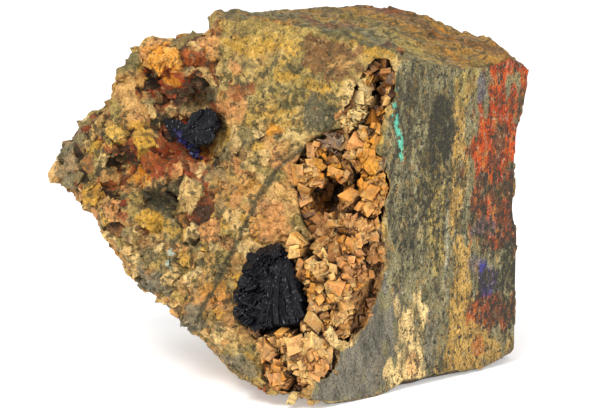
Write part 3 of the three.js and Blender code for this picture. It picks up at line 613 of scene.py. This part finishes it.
# A rhomb's faces, and how far each of its edges leans from its long axis
RHOMB_FACES = np.array([[0, 2, 3, 1], [4, 5, 7, 6], [0, 4, 6, 2], [1, 3, 7, 5], [0, 1, 5, 4], [2, 6, 7, 3]])
RHOMB_TILT = math.radians(43.85)


def rhomb_cloud(at, axis, spin, edge, stretch):
    """Corners and faces of many rhombs; stretch scales each one's three edges."""
    axis = axis / np.linalg.norm(axis, axis=1)[:, None]
    helper = np.where(np.abs(axis[:, 2:]) < 0.9, [[0, 0, 1]], [[1, 0, 0]])
    side = np.cross(helper, axis)
    side /= np.linalg.norm(side, axis=1)[:, None]
    other = np.cross(axis, side)
    corners = np.zeros((len(at), 8, 3))
    for n in range(3):
        around = spin + n * 2 * math.pi / 3
        along = math.sin(RHOMB_TILT) * (np.cos(around)[:, None] * side + np.sin(around)[:, None] * other)
        along = (along + math.cos(RHOMB_TILT) * axis) * (edge * stretch[:, n])[:, None]
        for corner in range(8):
            corners[:, corner] += along * ((corner >> n & 1) - 0.5)
    corners += at[:, None, :]
    faces = RHOMB_FACES[None] + 8 * np.arange(len(at))[:, None, None]
    return corners.reshape(-1, 3), faces.reshape(-1, 4)


def finished(obj, node, material, angle=None):
    """Hangs a piece into the frame; edges sharper than angle stay sharp, and without it all of them do."""
    obj.data.materials.clear()
    obj.data.materials.append(material)
    obj.data.polygons.foreach_set("use_smooth", [angle is not None] * len(obj.data.polygons))
    if angle is not None:
        obj.data.set_sharp_from_angle(angle=math.radians(angle))
    obj.data.update()
    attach(obj, "root")
    if node:
        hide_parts(node)
    return obj


# Materials
class Nodes:
    """A small helper that adds shader nodes and links them."""

    def __init__(self, name):
        self.material = bpy.data.materials.new(name)
        self.material.use_nodes = True
        self.tree = self.material.node_tree
        self.shader = self.tree.nodes["Principled BSDF"]
        self.place = self.add("ShaderNodeTexCoord").outputs["Object"]

    def add(self, kind, inputs=None, **settings):
        node = self.tree.nodes.new(kind)
        for key, value in settings.items():
            setattr(node, key, value)
        for key, value in (inputs or {}).items():
            self.put(node.inputs[key], value)
        return node

    def put(self, socket, value):
        if isinstance(value, bpy.types.NodeSocket):
            self.tree.links.new(value, socket)
        else:
            socket.default_value = value

    def attribute(self, name, output="Fac"):
        return self.add("ShaderNodeAttribute", attribute_name=name).outputs[output]

    def noise(self, size, detail=4, rough=0.6, stretch=None, shift=0):
        """Noise whose blobs are about size mm."""
        place = self.place
        if stretch or shift:
            mapping = {"Vector": place, "Location": (shift, shift, shift), "Scale": stretch or (1, 1, 1)}
            place = self.add("ShaderNodeMapping", mapping).outputs["Vector"]
        inputs = {"Vector": place, "Scale": 1 / (size * MM), "Detail": detail, "Roughness": rough}
        return self.add("ShaderNodeTexNoise", inputs).outputs["Fac"]

    def vector(self, kind, inputs):
        return self.add("ShaderNodeVectorMath", inputs, operation=kind).outputs[0]

    def cells(self, size, warp, output="Distance"):
        """Cells about size mm wide, their borders bent by up to warp mm."""
        inputs = {"Vector": self.place, "Scale": 1 / (1.2 * size * MM), "Detail": 3}
        bend = self.add("ShaderNodeTexNoise", inputs).outputs["Color"]
        centred = self.vector("SUBTRACT", {0: bend, 1: (0.5, 0.5, 0.5)})
        scaled = self.vector("SCALE", {0: centred, "Scale": 2 * warp * MM})
        place = self.vector("ADD", {0: self.place, 1: scaled})
        return self.add("ShaderNodeTexVoronoi", {"Vector": place, "Scale": 1 / (size * MM)}).outputs[output]

    def shut_in(self, reach):
        """From 0 in the open to 1 in a deep crevice, looking reach mm around; a mask for painted shade."""
        node = self.add("ShaderNodeAmbientOcclusion", {"Distance": reach * MM}, samples=6)
        return self.math("SUBTRACT", 1.0, node.outputs["AO"])

    def math(self, kind, a, b=0.0):
        return self.add("ShaderNodeMath", {0: a, 1: b}, operation=kind).outputs[0]

    def ramp(self, value, low, high, to_low=0.0, to_high=1.0):
        inputs = {"Value": value, "From Min": low, "From Max": high, "To Min": to_low, "To Max": to_high}
        return self.add("ShaderNodeMapRange", inputs, interpolation_type="SMOOTHSTEP").outputs["Result"]

    def spread(self, value, darkest, brightest):
        """A grey from darkest to brightest as a noise runs from low to high."""
        grey = self.ramp(value, 0.3, 0.7, darkest, brightest)
        return self.add("ShaderNodeCombineColor", {0: grey, 1: grey, 2: grey}).outputs[0]

    def mix(self, share, a, b, blend="MIX"):
        node = self.add("ShaderNodeMix", data_type="RGBA", blend_type=blend)
        self.put(node.inputs["Factor"], share)
        self.put(node.inputs[6], a)
        self.put(node.inputs[7], b)
        return node.outputs[2]

    def tinted(self, share, base, name):
        """The base with a tint of the list mixed in."""
        return self.mix(share, base, (*linear(name), 1))

    def stained(self, where, most, base, name):
        """The base with a tint mixed in by a mask, by most at the most."""
        return self.tinted(self.math("MULTIPLY", where, most), base, name)

    def mottled(self, base, value, darkest, brightest):
        """The base made darker and brighter as a noise runs from low to high."""
        return self.mix(1.0, base, self.spread(value, darkest, brightest), "MULTIPLY")

    def bump(self, height, distance, strength):
        inputs = {"Height": height, "Distance": distance * MM, "Strength": strength}
        return self.add("ShaderNodeBump", inputs).outputs["Normal"]

    def finish(self, **sockets):
        for key, value in sockets.items():
            self.put(self.shader.inputs[key.replace("_", " ")], value)
        return self.material


def broken_face(n, tint, specks):
    """Colour of the broken dolomite, in shader nodes, with painted shade in its crevices."""
    colour = n.mottled(tint, n.noise(1.4, 4, 0.65, shift=3.1), 0.65, 1.3)
    colour = n.mottled(colour, n.noise(0.45, 3, 0.65), 0.72, 1.25)
    pale = n.ramp(n.noise(0.9, 5, 0.65, shift=1.1), 0.57, 0.66)
    colour = n.stained(pale, 0.4, colour, "cream")
    rust = n.ramp(n.noise(2.2, 5, 0.7, shift=2.3), 0.6, 0.68)
    colour = n.stained(rust, 0.3, colour, "rust")
    speckled = n.math("ADD", n.noise(1.5, 6, 0.7, shift=0.3), n.math("MULTIPLY", specks, 0.17))
    colour = n.stained(n.ramp(speckled, 0.57, 0.65), 0.8, colour, "dark olive")
    # painted shade: near black where ambient occlusion finds a crevice
    return n.stained(n.ramp(n.shut_in(2.2), 0.3, 0.8), 0.8, colour, "near black")


def sawn_face(n, tint, specks):
    """Colour of the sawn face: the same tint through upright streaks and mineral grains."""
    upright = (1, 1, 0.4)  # noise stretched this way makes upright streaks
    colour = n.mottled(tint, n.noise(2.6, 5, 0.65, upright, 4.3), 0.6, 1.4)
    warm = n.ramp(n.noise(1.5, 6, 0.7, upright, 5.7), 0.52, 0.62)
    colour = n.stained(warm, n.ramp(specks, 0.1, 0.4, 0.1, 0.5), colour, "ochre")
    pale = n.ramp(n.noise(0.8, 5, 0.7, (1, 1, 0.6), 1.1), 0.55, 0.62)
    colour = n.stained(pale, n.ramp(specks, 0.1, 0.4, 0.2, 0.6), colour, "pale grey")
    streaks = n.math("ADD", n.noise(1.7, 7, 0.75, upright, 0.7), n.math("MULTIPLY", specks, 0.14))
    colour = n.mix(n.ramp(streaks, 0.53, 0.66, 0.0, 0.6), colour, (0.16, 0.17, 0.16, 1), "MULTIPLY")
    colour = n.tinted(n.ramp(streaks, 0.58, 0.68, 0.0, 0.5), colour, "dark olive")
    dots = n.math("ADD", n.noise(1, 5, 0.7, (1, 1, 0.75), 2.9), n.math("MULTIPLY", specks, 0.14))
    colour = n.tinted(n.ramp(dots, 0.6, 0.65, 0.0, 0.9), colour, "near black")
    return n.mottled(colour, n.noise(0.4, 4, 0.7), 0.4, 1.5)


def rock_material():
    n = Nodes("broken dolomite")
    tint = n.attribute("tint", "Color")
    specks = n.attribute("specks")
    sawn = n.attribute("sawn")
    colour = n.mix(sawn, broken_face(n, tint, specks), sawn_face(n, tint, specks))
    relief = n.math("ADD", n.noise(0.8, 6, 0.75), n.math("MULTIPLY", n.cells(1.1, 1), 0.6))
    bump = n.bump(relief, 0.4, n.ramp(sawn, 0, 1, 0.9, 0.3))
    rough = n.ramp(n.noise(0.5, 3, 0.6, shift=0.2), 0.3, 0.7, 0.5, 0.8)
    return n.finish(Base_Color=colour, Roughness=rough, Normal=bump, Specular_IOR_Level=0.3)


def crystal_material():
    n = Nodes("dolomite crystals")
    tint = n.attribute("tint", "Color")
    colour = n.mottled(tint, n.noise(0.6, 4, 0.65), 0.75, 1.2)
    cloudy = n.ramp(n.noise(1.8, 5, 0.65, shift=0.9), 0.5, 0.64)
    colour = n.stained(cloudy, 0.45, colour, "cream")
    orange = n.ramp(n.noise(2.2, 6, 0.7, shift=1.4), 0.52, 0.62)
    colour = n.stained(orange, 0.55, colour, "orange")
    stain = n.ramp(n.noise(3, 6, 0.7, shift=2.7), 0.5, 0.62)
    colour = n.stained(stain, 0.35, colour, "brown")
    # painted shade: brown and then black where ambient occlusion finds the crystals shut in
    shut = n.math("ADD", n.shut_in(5), n.math("MULTIPLY", n.noise(1.2, 5, 0.65, shift=1.9), 0.3))
    colour = n.tinted(n.ramp(shut, 0.38, 0.72, 0.0, 0.8), colour, "brown")
    colour = n.tinted(n.ramp(shut, 0.62, 0.92, 0.0, 0.92), colour, "black")
    steps = n.add("ShaderNodeSeparateColor", {0: n.cells(1.5, 0.8, "Color")}).outputs[0]
    bump = n.bump(n.math("ADD", n.noise(0.6, 5, 0.65), n.math("MULTIPLY", steps, 0.9)), 0.3, 0.8)
    rough = n.ramp(n.noise(0.7, 3, 0.6, shift=0.2), 0.3, 0.7, 0.28, 0.55)
    return n.finish(
        Base_Color=colour, Roughness=rough, Normal=bump, Specular_IOR_Level=0.45,
        Subsurface_Weight=0.35, Subsurface_Radius=(1, 0.5, 0.2), Subsurface_Scale=1.5 * MM,
    )


def azurite_material(name, blue):
    """Nearly black blades with fine lines and glints; blue is how blue they are."""
    n = Nodes(name)
    lengthwise = (1, 1, 0.3)
    fine = n.noise(0.5, 4, 0.6)
    dark = n.mix(fine, (0.001, 0.001, 0.002, 1), (0.005, 0.005, 0.008, 1))
    colour = n.mix(blue, dark, (0.02, 0.018, 0.09, 1))
    lines = n.noise(0.35, 3, 0.5, lengthwise, 0.4)
    glints = n.ramp(n.noise(0.32, 4, 0.7, lengthwise, 3.3), 0.6, 0.7)
    colour = n.mix(n.math("MULTIPLY", glints, 0.8), colour, (0.3, 0.31, 0.34, 1))
    bump = n.bump(lines, 0.12, 0.6)
    rough = n.ramp(lines, 0.36, 0.6, 0.12, 0.45)
    return n.finish(Base_Color=colour, Roughness=rough, Normal=bump, Specular_IOR_Level=0.22)


rock_look = rock_material()
crystal_look = crystal_material()
azurite_look = azurite_material("azurite", 0.0)
blue_look = azurite_material("bright azurite", 0.7)

# The rock
ROCK_VOXEL = 0.46
ROCK_TRIANGLES = 198000
ROCK_CREASE = 35  # edges sharper than this many degrees stay sharp
HOLLOW_X, HOLLOW_HALF, HOLLOW_DEPTH = 8, 20, 26  # the part of the rock that may touch the crust
WALL_REACH = 3
BARE_WALL = (0.2, 1.4)  # this near the crust the wall has no relief, and from here on all of it
RESTING_SPOT = (0.3, 1.2)  # the same above the floor
rng = np.random.default_rng(5)


def distance_to_crust(points):
    """How far points of the rock lie from the crust; all far ones count as 9."""
    distance = np.full(len(points), 9.0)
    near = (np.abs(points[:, 0] - HOLLOW_X) < HOLLOW_HALF) & (behind(points, FRONT) < HOLLOW_DEPTH)
    for i in np.nonzero(near)[0]:
        found = crust_tree.find_nearest(Vector(points[i]), WALL_REACH)[3]
        if found is not None:
            distance[i] = found
    return distance


def rock_relief(p, on_front, on_sawn):
    """How far the surface moves out: fine blocks in front, coarse ones elsewhere, little on the saw cut."""
    _, height = blocks(p)
    slab = smooth(p[:, 2] + 0.4 * p[:, 0], 48, 56) * (1 - limb_share(p))
    front = (0.7 - 0.45 * slab) * height + 0.28 * facets(p, 1.3, 9) + 0.4 * layered(p, 5, 3)
    other = 0.7 * facets(p, 5, 4) + 0.3 * facets(p, 1.9, 5) + 0.5 * layered(p, 9, 6)
    relief = (on_front * front + (1 - on_front) * other) * (1 - on_sawn)
    relief = relief + 0.05 * on_sawn * layered(p, 1.2, 7)
    return relief * smooth(distance_to_crust(p), *BARE_WALL) * smooth(p[:, 2], *RESTING_SPOT)


crust_points, _, crust_triangles = arrays_of(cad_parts["dolomite_crystal_crust"].data)
crust_tree = BVHTree.FromPolygons(crust_points.tolist(), crust_triangles.tolist())
rock = remeshed("dolomite_matrix", "rock", ROCK_VOXEL)
points, normals, _ = arrays_of(rock.data)
colour, specks, on_front, on_sawn = rock_colour(points, normals)
moved = points + normals * rock_relief(points, on_front, on_sawn)[:, None]
set_points(rock.data, above_floor(cut_by_saw(moved, 0.1), 0))
set_colour(rock.data, colour * (1 + 0.1 * layered(points, 3, 8)[:, None]))
set_number(rock.data, "specks", specks)
set_number(rock.data, "sawn", on_sawn)
thinned(rock, ROCK_TRIANGLES, np.clip(0.15 + 0.85 * on_front + 0.3 * on_sawn, 0, 1))
rock_points, rock_normals, rock_triangles = arrays_of(rock.data)
_, _, on_front, on_sawn = rock_colour(rock_points, rock_normals)
finished(rock, "dolomite_matrix", rock_look, ROCK_CREASE)

SPIN = 2.1  # a rhomb looks the same again after a third of a turn


def scattered(at, out, edge, lean, sunk, stretch):
    """Rhombs on a surface: how much they lean, how many edges deep they are sunk, how they are stretched."""
    count = len(at)
    axis = out + lean * rng.normal(size=(count, 3))
    spin = rng.random(count) * SPIN
    at = at - out * (sunk * edge)[:, None]
    corners, faces = rhomb_cloud(at, axis, spin, edge, rng.uniform(*stretch, (count, 3)))
    return above_floor(corners), faces


# Cleavage grains on the front
GRAINS = 1700
by_the_saw = behind(rock_points, SAWN)
facing_front = rock_normals @ FRONT
facing_saw = rock_normals @ SAWN
places = np.nonzero((on_front > 0.5) & (on_sawn < 0.2) & (rock_points[:, 2] > 1.5) & (facing_front > 0.3))[0]
at_hollow = np.array([crust_tree.find_nearest(Vector(rock_points[i]), 1.1)[3] is not None for i in places])
chosen = rng.choice(places[~at_hollow], GRAINS, replace=False)
at, out = rock_points[chosen], rock_normals[chosen]
edge = 0.6 + (1 + 1.6 * smooth(-at[:, 0], 12, 24)) * rng.random(GRAINS) ** 3
corners, faces = scattered(at, out, edge, 0.5, 0.62, (0.7, 1.35))
grains = mesh_object("front_grains", corners, faces)
colour, specks, _, _ = rock_colour(at, out)
set_colour(grains.data, np.repeat(colour * rng.uniform(0.78, 1.22, (GRAINS, 1)), 8, axis=0))
set_number(grains.data, "specks", np.repeat(specks, 8))
set_number(grains.data, "sawn", np.zeros(len(corners)))
finished(grains, None, rock_look)

# The crystals of the hollow: the large ones, with faces broken up as in intergrown crystals
CRUST_VOXEL = 0.36
CRUST_CREASE = 28
crust = remeshed("dolomite_crystal_crust", "hollow_crystals", CRUST_VOXEL)
points, normals, _ = arrays_of(crust.data)
intergrown = 0.5 * facets(points, 2.1, 61) + 0.25 * facets(points, 1, 63)
set_points(crust.data, above_floor(points + normals * (intergrown - 0.1)[:, None]))
points, normals, triangles = arrays_of(crust.data)
both_tree = BVHTree.FromPolygons(
    np.concatenate([points, rock_points]).tolist(),
    np.concatenate([triangles, rock_triangles + len(points)]).tolist(),
)
SHUT_REACH = 9  # a wall this near shuts a place in
SHUT_START = 0.4  # looked for from this far over the place
rays = rng.normal(size=(14, 3))
rays /= np.linalg.norm(rays, axis=1)[:, None]


def shut_share(points, normals):
    """Share of the half space over each point that a near wall closes off."""
    closed = np.zeros(len(points))
    for i, (point, normal) in enumerate(zip(points, normals)):
        start = Vector(point + normal * SHUT_START)
        for ray in rays:
            way = ray if ray @ normal > 0 else -ray
            if both_tree.ray_cast(start, Vector(way), SHUT_REACH)[0] is not None:
                closed[i] += 1
    return closed / len(rays)


def painted_depth_shade(colour, shut):
    """The tint of a crystal's place with painted shade: pale where open, brown and then black where shut in.
    """
    colour = blend_to(colour, "brown", smooth(shut, 0.42, 0.8) * 0.75)
    return blend_to(colour, "black", smooth(shut, 0.68, 0.96) * 0.85)


tint = crust_colour(points) * (1 + 0.15 * layered(points, 2, 17)[:, None])
# painted shade on the crust, from how shut in each of its points is
set_colour(crust.data, painted_depth_shade(tint, shut_share(points, normals)))
finished(crust, "dolomite_crystal_crust", crystal_look, CRUST_CREASE)

# The small crystals: on the large ones, on the hollow's rim, on the band right of it and on the slot's lip
CRYSTALS = 3000
RIM_CRYSTALS = 440
BAND_CRYSTALS = 260
LIP_CRYSTALS = 170
STRIP_LEFT, STRIP_TOP = 11, 42  # right and below of here the crystals are many and small
LIP_FOOT, LIP_RUN = (12.6, 56), (2.9, 11)  # the lip's lower end in the front view, and the way up it
CRYSTAL_BEVEL = 0.14


def in_strip(p):
    return (p[:, 0] > STRIP_LEFT) & (p[:, 2] < STRIP_TOP)


corners = points[triangles]
across = np.cross(corners[:, 1] - corners[:, 0], corners[:, 2] - corners[:, 0])
area = np.linalg.norm(across, axis=1)
flat = across / np.maximum(area, 1e-9)[:, None]
middle = corners.mean(axis=1)
weight = area * (flat @ FRONT > -0.05) * (1 + 1.2 * in_strip(middle))
chosen = rng.choice(len(middle), CRYSTALS, p=weight / weight.sum())
at, out = middle[chosen], flat[chosen]
edge = 0.8 + 2 * rng.random(CRYSTALS) ** 2.5
edge = np.where(behind(at, FRONT) > 5, 0.7 * edge, edge)
edge = np.where(in_strip(at), 0.75 * edge, edge)

rim = places[at_hollow]
rim = rim[(rock_points[rim, 2] > 6) & (facing_saw[rim] < 0.4) & (by_the_saw[rim] > 1.4)]
on_rim = rng.choice(rim, RIM_CRYSTALS, replace=False)
up_lip = rng.random(LIP_CRYSTALS)
lip = on_front_plane(
    LIP_FOOT[0] + LIP_RUN[0] * up_lip + rng.uniform(-1, 0.5, LIP_CRYSTALS),
    LIP_FOOT[1] + LIP_RUN[1] * up_lip,
    rng.uniform(-1.2, 0.2, LIP_CRYSTALS),
)
in_band = (rock_points[:, 0] > 12) & (rock_points[:, 2] > 12) & (rock_points[:, 2] < STRIP_TOP)
in_band &= (behind(rock_points, FRONT) > 0.5) & (behind(rock_points, FRONT) < 12)
in_band &= (facing_front > 0.15) & (facing_saw < 0.75) & (by_the_saw > 0.5)
on_band = rng.choice(np.nonzero(in_band)[0], BAND_CRYSTALS, replace=False)
at = np.concatenate([at, rock_points[on_rim], rock_points[on_band], lip])
out = np.concatenate([out, rock_normals[on_rim], rock_normals[on_band], np.tile(FRONT, (LIP_CRYSTALS, 1))])
rim_edge = 0.8 + 1.8 * rng.random(RIM_CRYSTALS) ** 2
band_edge = rng.uniform(1, 2.2, BAND_CRYSTALS)
lip_edge = rng.uniform(1.2, 2.6, LIP_CRYSTALS)
edge = np.concatenate([edge, rim_edge, band_edge, lip_edge])
corners, faces = scattered(at, out, edge, 0.45, 0.5, (0.55, 1.55))
corners = cut_by_saw(corners, -0.2, np.repeat(behind(at, SAWN) > 0.5, 8))
small = mesh_object("small_crystals", corners, faces)
tint = crust_colour(at) * rng.uniform(0.85, 1.4, (len(at), 1))
# painted shade: brown and then black on crystals shut in by near walls
shut = shut_share(at, out)
shut[-LIP_CRYSTALS:] = 0.2
tip = np.tile([bin(corner).count("1") / 3 for corner in range(8)], len(at))
tint = np.repeat(painted_depth_shade(tint, shut), 8, axis=0)
# painted shade and light: each crystal browner and darker at its base, lighter towards its tip
tint = blend_to(tint, "brown", 0.35 * (1 - smooth(tip, 0.0, 0.9)))
set_colour(small.data, tint * (0.8 + 0.3 * tip)[:, None])
bevelled(small, CRYSTAL_BEVEL)
finished(small, None, crystal_look)


# The azurites
def plates(name, blades):
    """Many flat blades, each given as a ring of corners, a normal and a thickness."""
    points, faces, start = [], [], 0
    for ring, normal, thick in blades:
        half = normal / np.linalg.norm(normal) * thick / 2
        count = len(ring)
        if np.cross(ring[1] - ring[0], ring[2] - ring[1]) @ normal < 0:
            ring = ring[::-1]
        points += [ring + half, ring - half]
        faces.append(list(range(start, start + count)))
        faces.append(list(range(start + 2 * count - 1, start + count - 1, -1)))
        for k in range(count):
            after = (k + 1) % count
            faces.append([start + count + k, start + count + after, start + after, start + k])
        start += 2 * count
    return mesh_object(name, np.concatenate(points), faces)


def with_core(name, blades, node):
    """One mesh of the blades and the CAD node that they grow from."""
    points, _, triangles = arrays_of(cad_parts[node].data)
    core = mesh_object("core", points, triangles)
    work = bmesh.new()
    for obj in (blades, core):
        work.from_mesh(obj.data)
        bpy.data.objects.remove(obj)
    mesh = bpy.data.meshes.new(name)
    work.to_mesh(mesh)
    work.free()
    return linked(name, mesh)


def place_on(line, step):
    """The place at a step along a broken line, where each whole number is one of its corners."""
    return [np.interp(step, range(len(line)), [corner[k] for corner in line]) for k in range(2)]


def inside(x, z, polygon):
    hit = False
    for (x0, z0), (x1, z1) in zip(polygon, np.roll(polygon, -1, axis=0)):
        if (z0 > z) != (z1 > z) and x < x0 + (z - z0) * (x1 - x0) / (z1 - z0):
            hit = not hit
    return hit


# The rosette: a fan of thin upright blades at the right, and ledges of small plates at the left
BLADES = 120
APEX = (-0.6, 31)  # the fan's blades start here in the front view, and end on this line
TIPS = [
    (2.3, 23.8), (3.2, 20.8), (3.4, 17.8), (1.8, 16.3), (0, 15.9), (-1.8, 15.7), (-3.6, 15.2), (-5.4, 14.6),
]
# A blade's outline: share of its length, height over the front plane, share of the blade's own lift.
BLADE_OUTLINE = [
    (0, -1.6, 0), (0, 0.8, 0), (0.14, 1.5, 1), (0.3, 2.1, 1), (0.55, 2.5, 1), (0.76, 2.6, 1), (0.9, 2.2, 1),
    (0.97, 1.4, 0), (1, -0.4, 0), (0.9, -2, 0),
]
LEDGES = 230
LEDGE_OUTLINE = np.array([
    (-5.6, 30), (-1, 30.9), (-0.6, 27), (-2.2, 22), (-3.6, 17), (-6, 15.4), (-9, 16.3), (-10.4, 17.2),
    (-10.4, 19.2), (-10, 21.6), (-8, 26), (-7.6, 29),
])
ROSETTE_BEVEL = 0.05
blades = []
for n in range(BLADES):
    share = n / (BLADES - 1)
    step = share * (len(TIPS) - 1)
    tip_x, tip_z = place_on(TIPS, step)
    tip_x += rng.uniform(-0.15, 0.15)
    tip_z += rng.uniform(-0.3, 0.3)
    apex = on_front_plane(APEX[0] - 1.1 * share + rng.uniform(-0.1, 0.1), APEX[1] - 0.4 * share, 0)
    along = on_front_plane(tip_x, tip_z, 0) - apex
    lift = rng.uniform(-0.12, 0.18) + 0.16 * math.sin(step * 2.3)
    ring = np.array([apex + along * a + FRONT * (b + lift * lifted) for a, b, lifted in BLADE_OUTLINE])
    normal = np.cross(along, FRONT) + 0.036 * rng.normal(size=3) * np.linalg.norm(along)
    blades.append((ring, normal, rng.uniform(0.1, 0.22)))
while len(blades) < BLADES + LEDGES:
    x, z = rng.uniform(-12.4, 0), rng.uniform(14.4, 31)
    if not inside(x, z, LEDGE_OUTLINE):
        continue
    swelling = math.sqrt(max(0.0, 1 - ((x + 6.4) / 5.4) ** 2 - ((z - 22.6) / 9) ** 2))
    terrace = 0.45 * math.sin((z * 0.9 + x * 0.35) * 2.1)
    centre = on_front_plane(x, z, 0.5 + 1.6 * swelling + terrace)
    normal = FRONT + (0.7 + 0.35 * rng.normal()) * FRONT_UP + (-0.35 + 0.5 * rng.normal()) * FRONT_RIGHT
    normal /= np.linalg.norm(normal)
    side = np.cross(normal, [0, 0, 1])
    side /= np.linalg.norm(side)
    other = np.cross(normal, side)
    count = int(rng.integers(7, 11))
    radius = rng.uniform(0.7, 1.55)
    ring = []
    for k in range(count):
        angle = 2 * math.pi * (k + rng.uniform(-0.2, 0.2)) / count
        reach = radius * rng.uniform(0.85, 1.1)
        ring.append(centre + side * math.cos(angle) * reach + other * math.sin(angle) * reach)
    blades.append((np.array(ring), normal, rng.uniform(0.25, 0.5)))
rosette = bevelled(with_core("rosette", plates("blades", blades), "azurite_rosette"), ROSETTE_BEVEL)
finished(rosette, "azurite_rosette", azurite_look)

# The small fan: flat wedges from one point, and a pile of plates at its left
FAN_APEX = (-23.4, 51.6)
FAN_TIPS = [(-20.6, 56.4), (-17.6, 57.7), (-15.6, 55.8), (-16.3, 53), (-17.2, 50.8), (-20.4, 50.4)]
WEDGES = 34
SIDE_OUTLINE = [(-27.6, 54.8), (-24.2, 54.8), (-22.4, 53.8), (-23.4, 52.2), (-26.4, 52.8)]
SIDE_PLATES = 6
blades = []
for n in range(WEDGES):
    step = n / (WEDGES - 1) * (len(FAN_TIPS) - 1)
    tip_x, tip_z = place_on(FAN_TIPS, step)
    raised = -1 + rng.uniform(-0.25, 0.35) + 0.25 * math.sin(step * 4)
    apex = on_front_plane(*FAN_APEX, raised - 0.3)
    tip = on_front_plane(tip_x + rng.uniform(-0.3, 0.3), tip_z + rng.uniform(-0.3, 0.3), raised + 0.5)
    along = tip - apex
    across = np.cross(FRONT, along) / np.linalg.norm(along)
    wide = rng.uniform(0.35, 0.6)
    rise = across + FRONT * rng.uniform(-0.6, 0.6)
    lower, upper = apex + along * 0.9 - rise * wide, apex + along * 0.92 + rise * wide
    ring = np.array([apex - across * 0.2, lower, tip, upper, apex + across * 0.2])
    blades.append((ring, FRONT + across * rng.uniform(-0.5, 0.5), rng.uniform(0.25, 0.5)))
for n in range(SIDE_PLATES):
    ring = [on_front_plane(x + rng.uniform(-0.2, 0.2), z - 0.25 * n, -1.3 - 0.2 * n) for x, z in SIDE_OUTLINE]
    blades.append((np.array(ring), FRONT + 0.3 * FRONT_UP + 0.15 * rng.normal(size=3), 0.3))
fan = with_core("fan", plates("wedges", blades), "azurite_fan")
finished(fan, "azurite_fan", azurite_look)

# Bright blue grains on a line below the small fan
BLUE_GRAINS = 50
BLUE_START, BLUE_RUN = (-24.6, 52.6), (4.2, -4.6)
share = rng.random(BLUE_GRAINS)
x = BLUE_START[0] + BLUE_RUN[0] * share + 0.5 * rng.normal(size=BLUE_GRAINS)
z = BLUE_START[1] + BLUE_RUN[1] * share + 0.5 * rng.normal(size=BLUE_GRAINS)
at = on_front_plane(x, z, -1.4 + 0.3 * rng.normal(size=BLUE_GRAINS))
axis = FRONT + 0.6 * rng.normal(size=(BLUE_GRAINS, 3))
spin, edge = rng.random(BLUE_GRAINS), rng.uniform(0.4, 0.9, BLUE_GRAINS)
blue = mesh_object("blue_grains", *rhomb_cloud(at, axis, spin, edge, np.ones((BLUE_GRAINS, 3))))
finished(blue, None, blue_look)

# Floor, light and camera; lights and the camera stand in metres
FLOOR_HALF = 3000
WHITE = (1, 1, 1, 1)
MIDDLE = (0, 0, 0.036)
CAMERA_AT = (0.0021, -0.53379, 0.14991)
CAMERA_AIM = (0.0021, -0.0007, 0.0366)
PHOTO_WIDTH = 612
PHOTO_SHIFT = 6  # the object stands this many pixels off the middle of the photograph

floor_corners = np.array([(-1, -1, 0), (1, -1, 0), (1, 1, 0), (-1, 1, 0)], float) * FLOOR_HALF
floor = mesh_object("floor", floor_corners, [[0, 1, 2, 3]])
floor_look = Nodes("pale floor")
pale = floor_look.mix(floor_look.noise(400, 2), (0.9, 0.9, 0.9, 1), (0.92, 0.92, 0.92, 1))
floor_look.finish(Base_Color=pale, Roughness=0.9, Emission_Color=WHITE, Emission_Strength=0.3)
floor.data.materials.append(floor_look.material)

world = bpy.data.worlds.new("studio")
world.use_nodes = True
background = world.node_tree.nodes["Background"].inputs
background["Color"].default_value = WHITE
background["Strength"].default_value = 0.8
bpy.context.scene.world = world


def turned_to(at, target):
    return (Vector(target) - Vector(at)).to_track_quat("-Z", "Y").to_euler()


def soft_light(name, at, power, size):
    data = bpy.data.lights.new(name, "AREA")
    data.energy = power
    data.shape = "SQUARE"
    data.size = size
    light = linked(name, data)
    light.location = at
    light.rotation_euler = turned_to(at, MIDDLE)


soft_light("key", (-0.25, -0.55, 0.75), 5.5, 0.35)
soft_light("fill", (0.6, -0.6, 0.35), 2.2, 0.5)

camera_data = bpy.data.cameras.new("camera")
camera_data.lens = 150
camera_data.sensor_width = 36
camera_data.shift_x = PHOTO_SHIFT / PHOTO_WIDTH
camera = linked("camera", camera_data)
camera.location = CAMERA_AT
camera.rotation_euler = turned_to(CAMERA_AT, CAMERA_AIM)
bpy.context.scene.camera = camera
bpy.context.scene.view_settings.view_transform = "Standard"
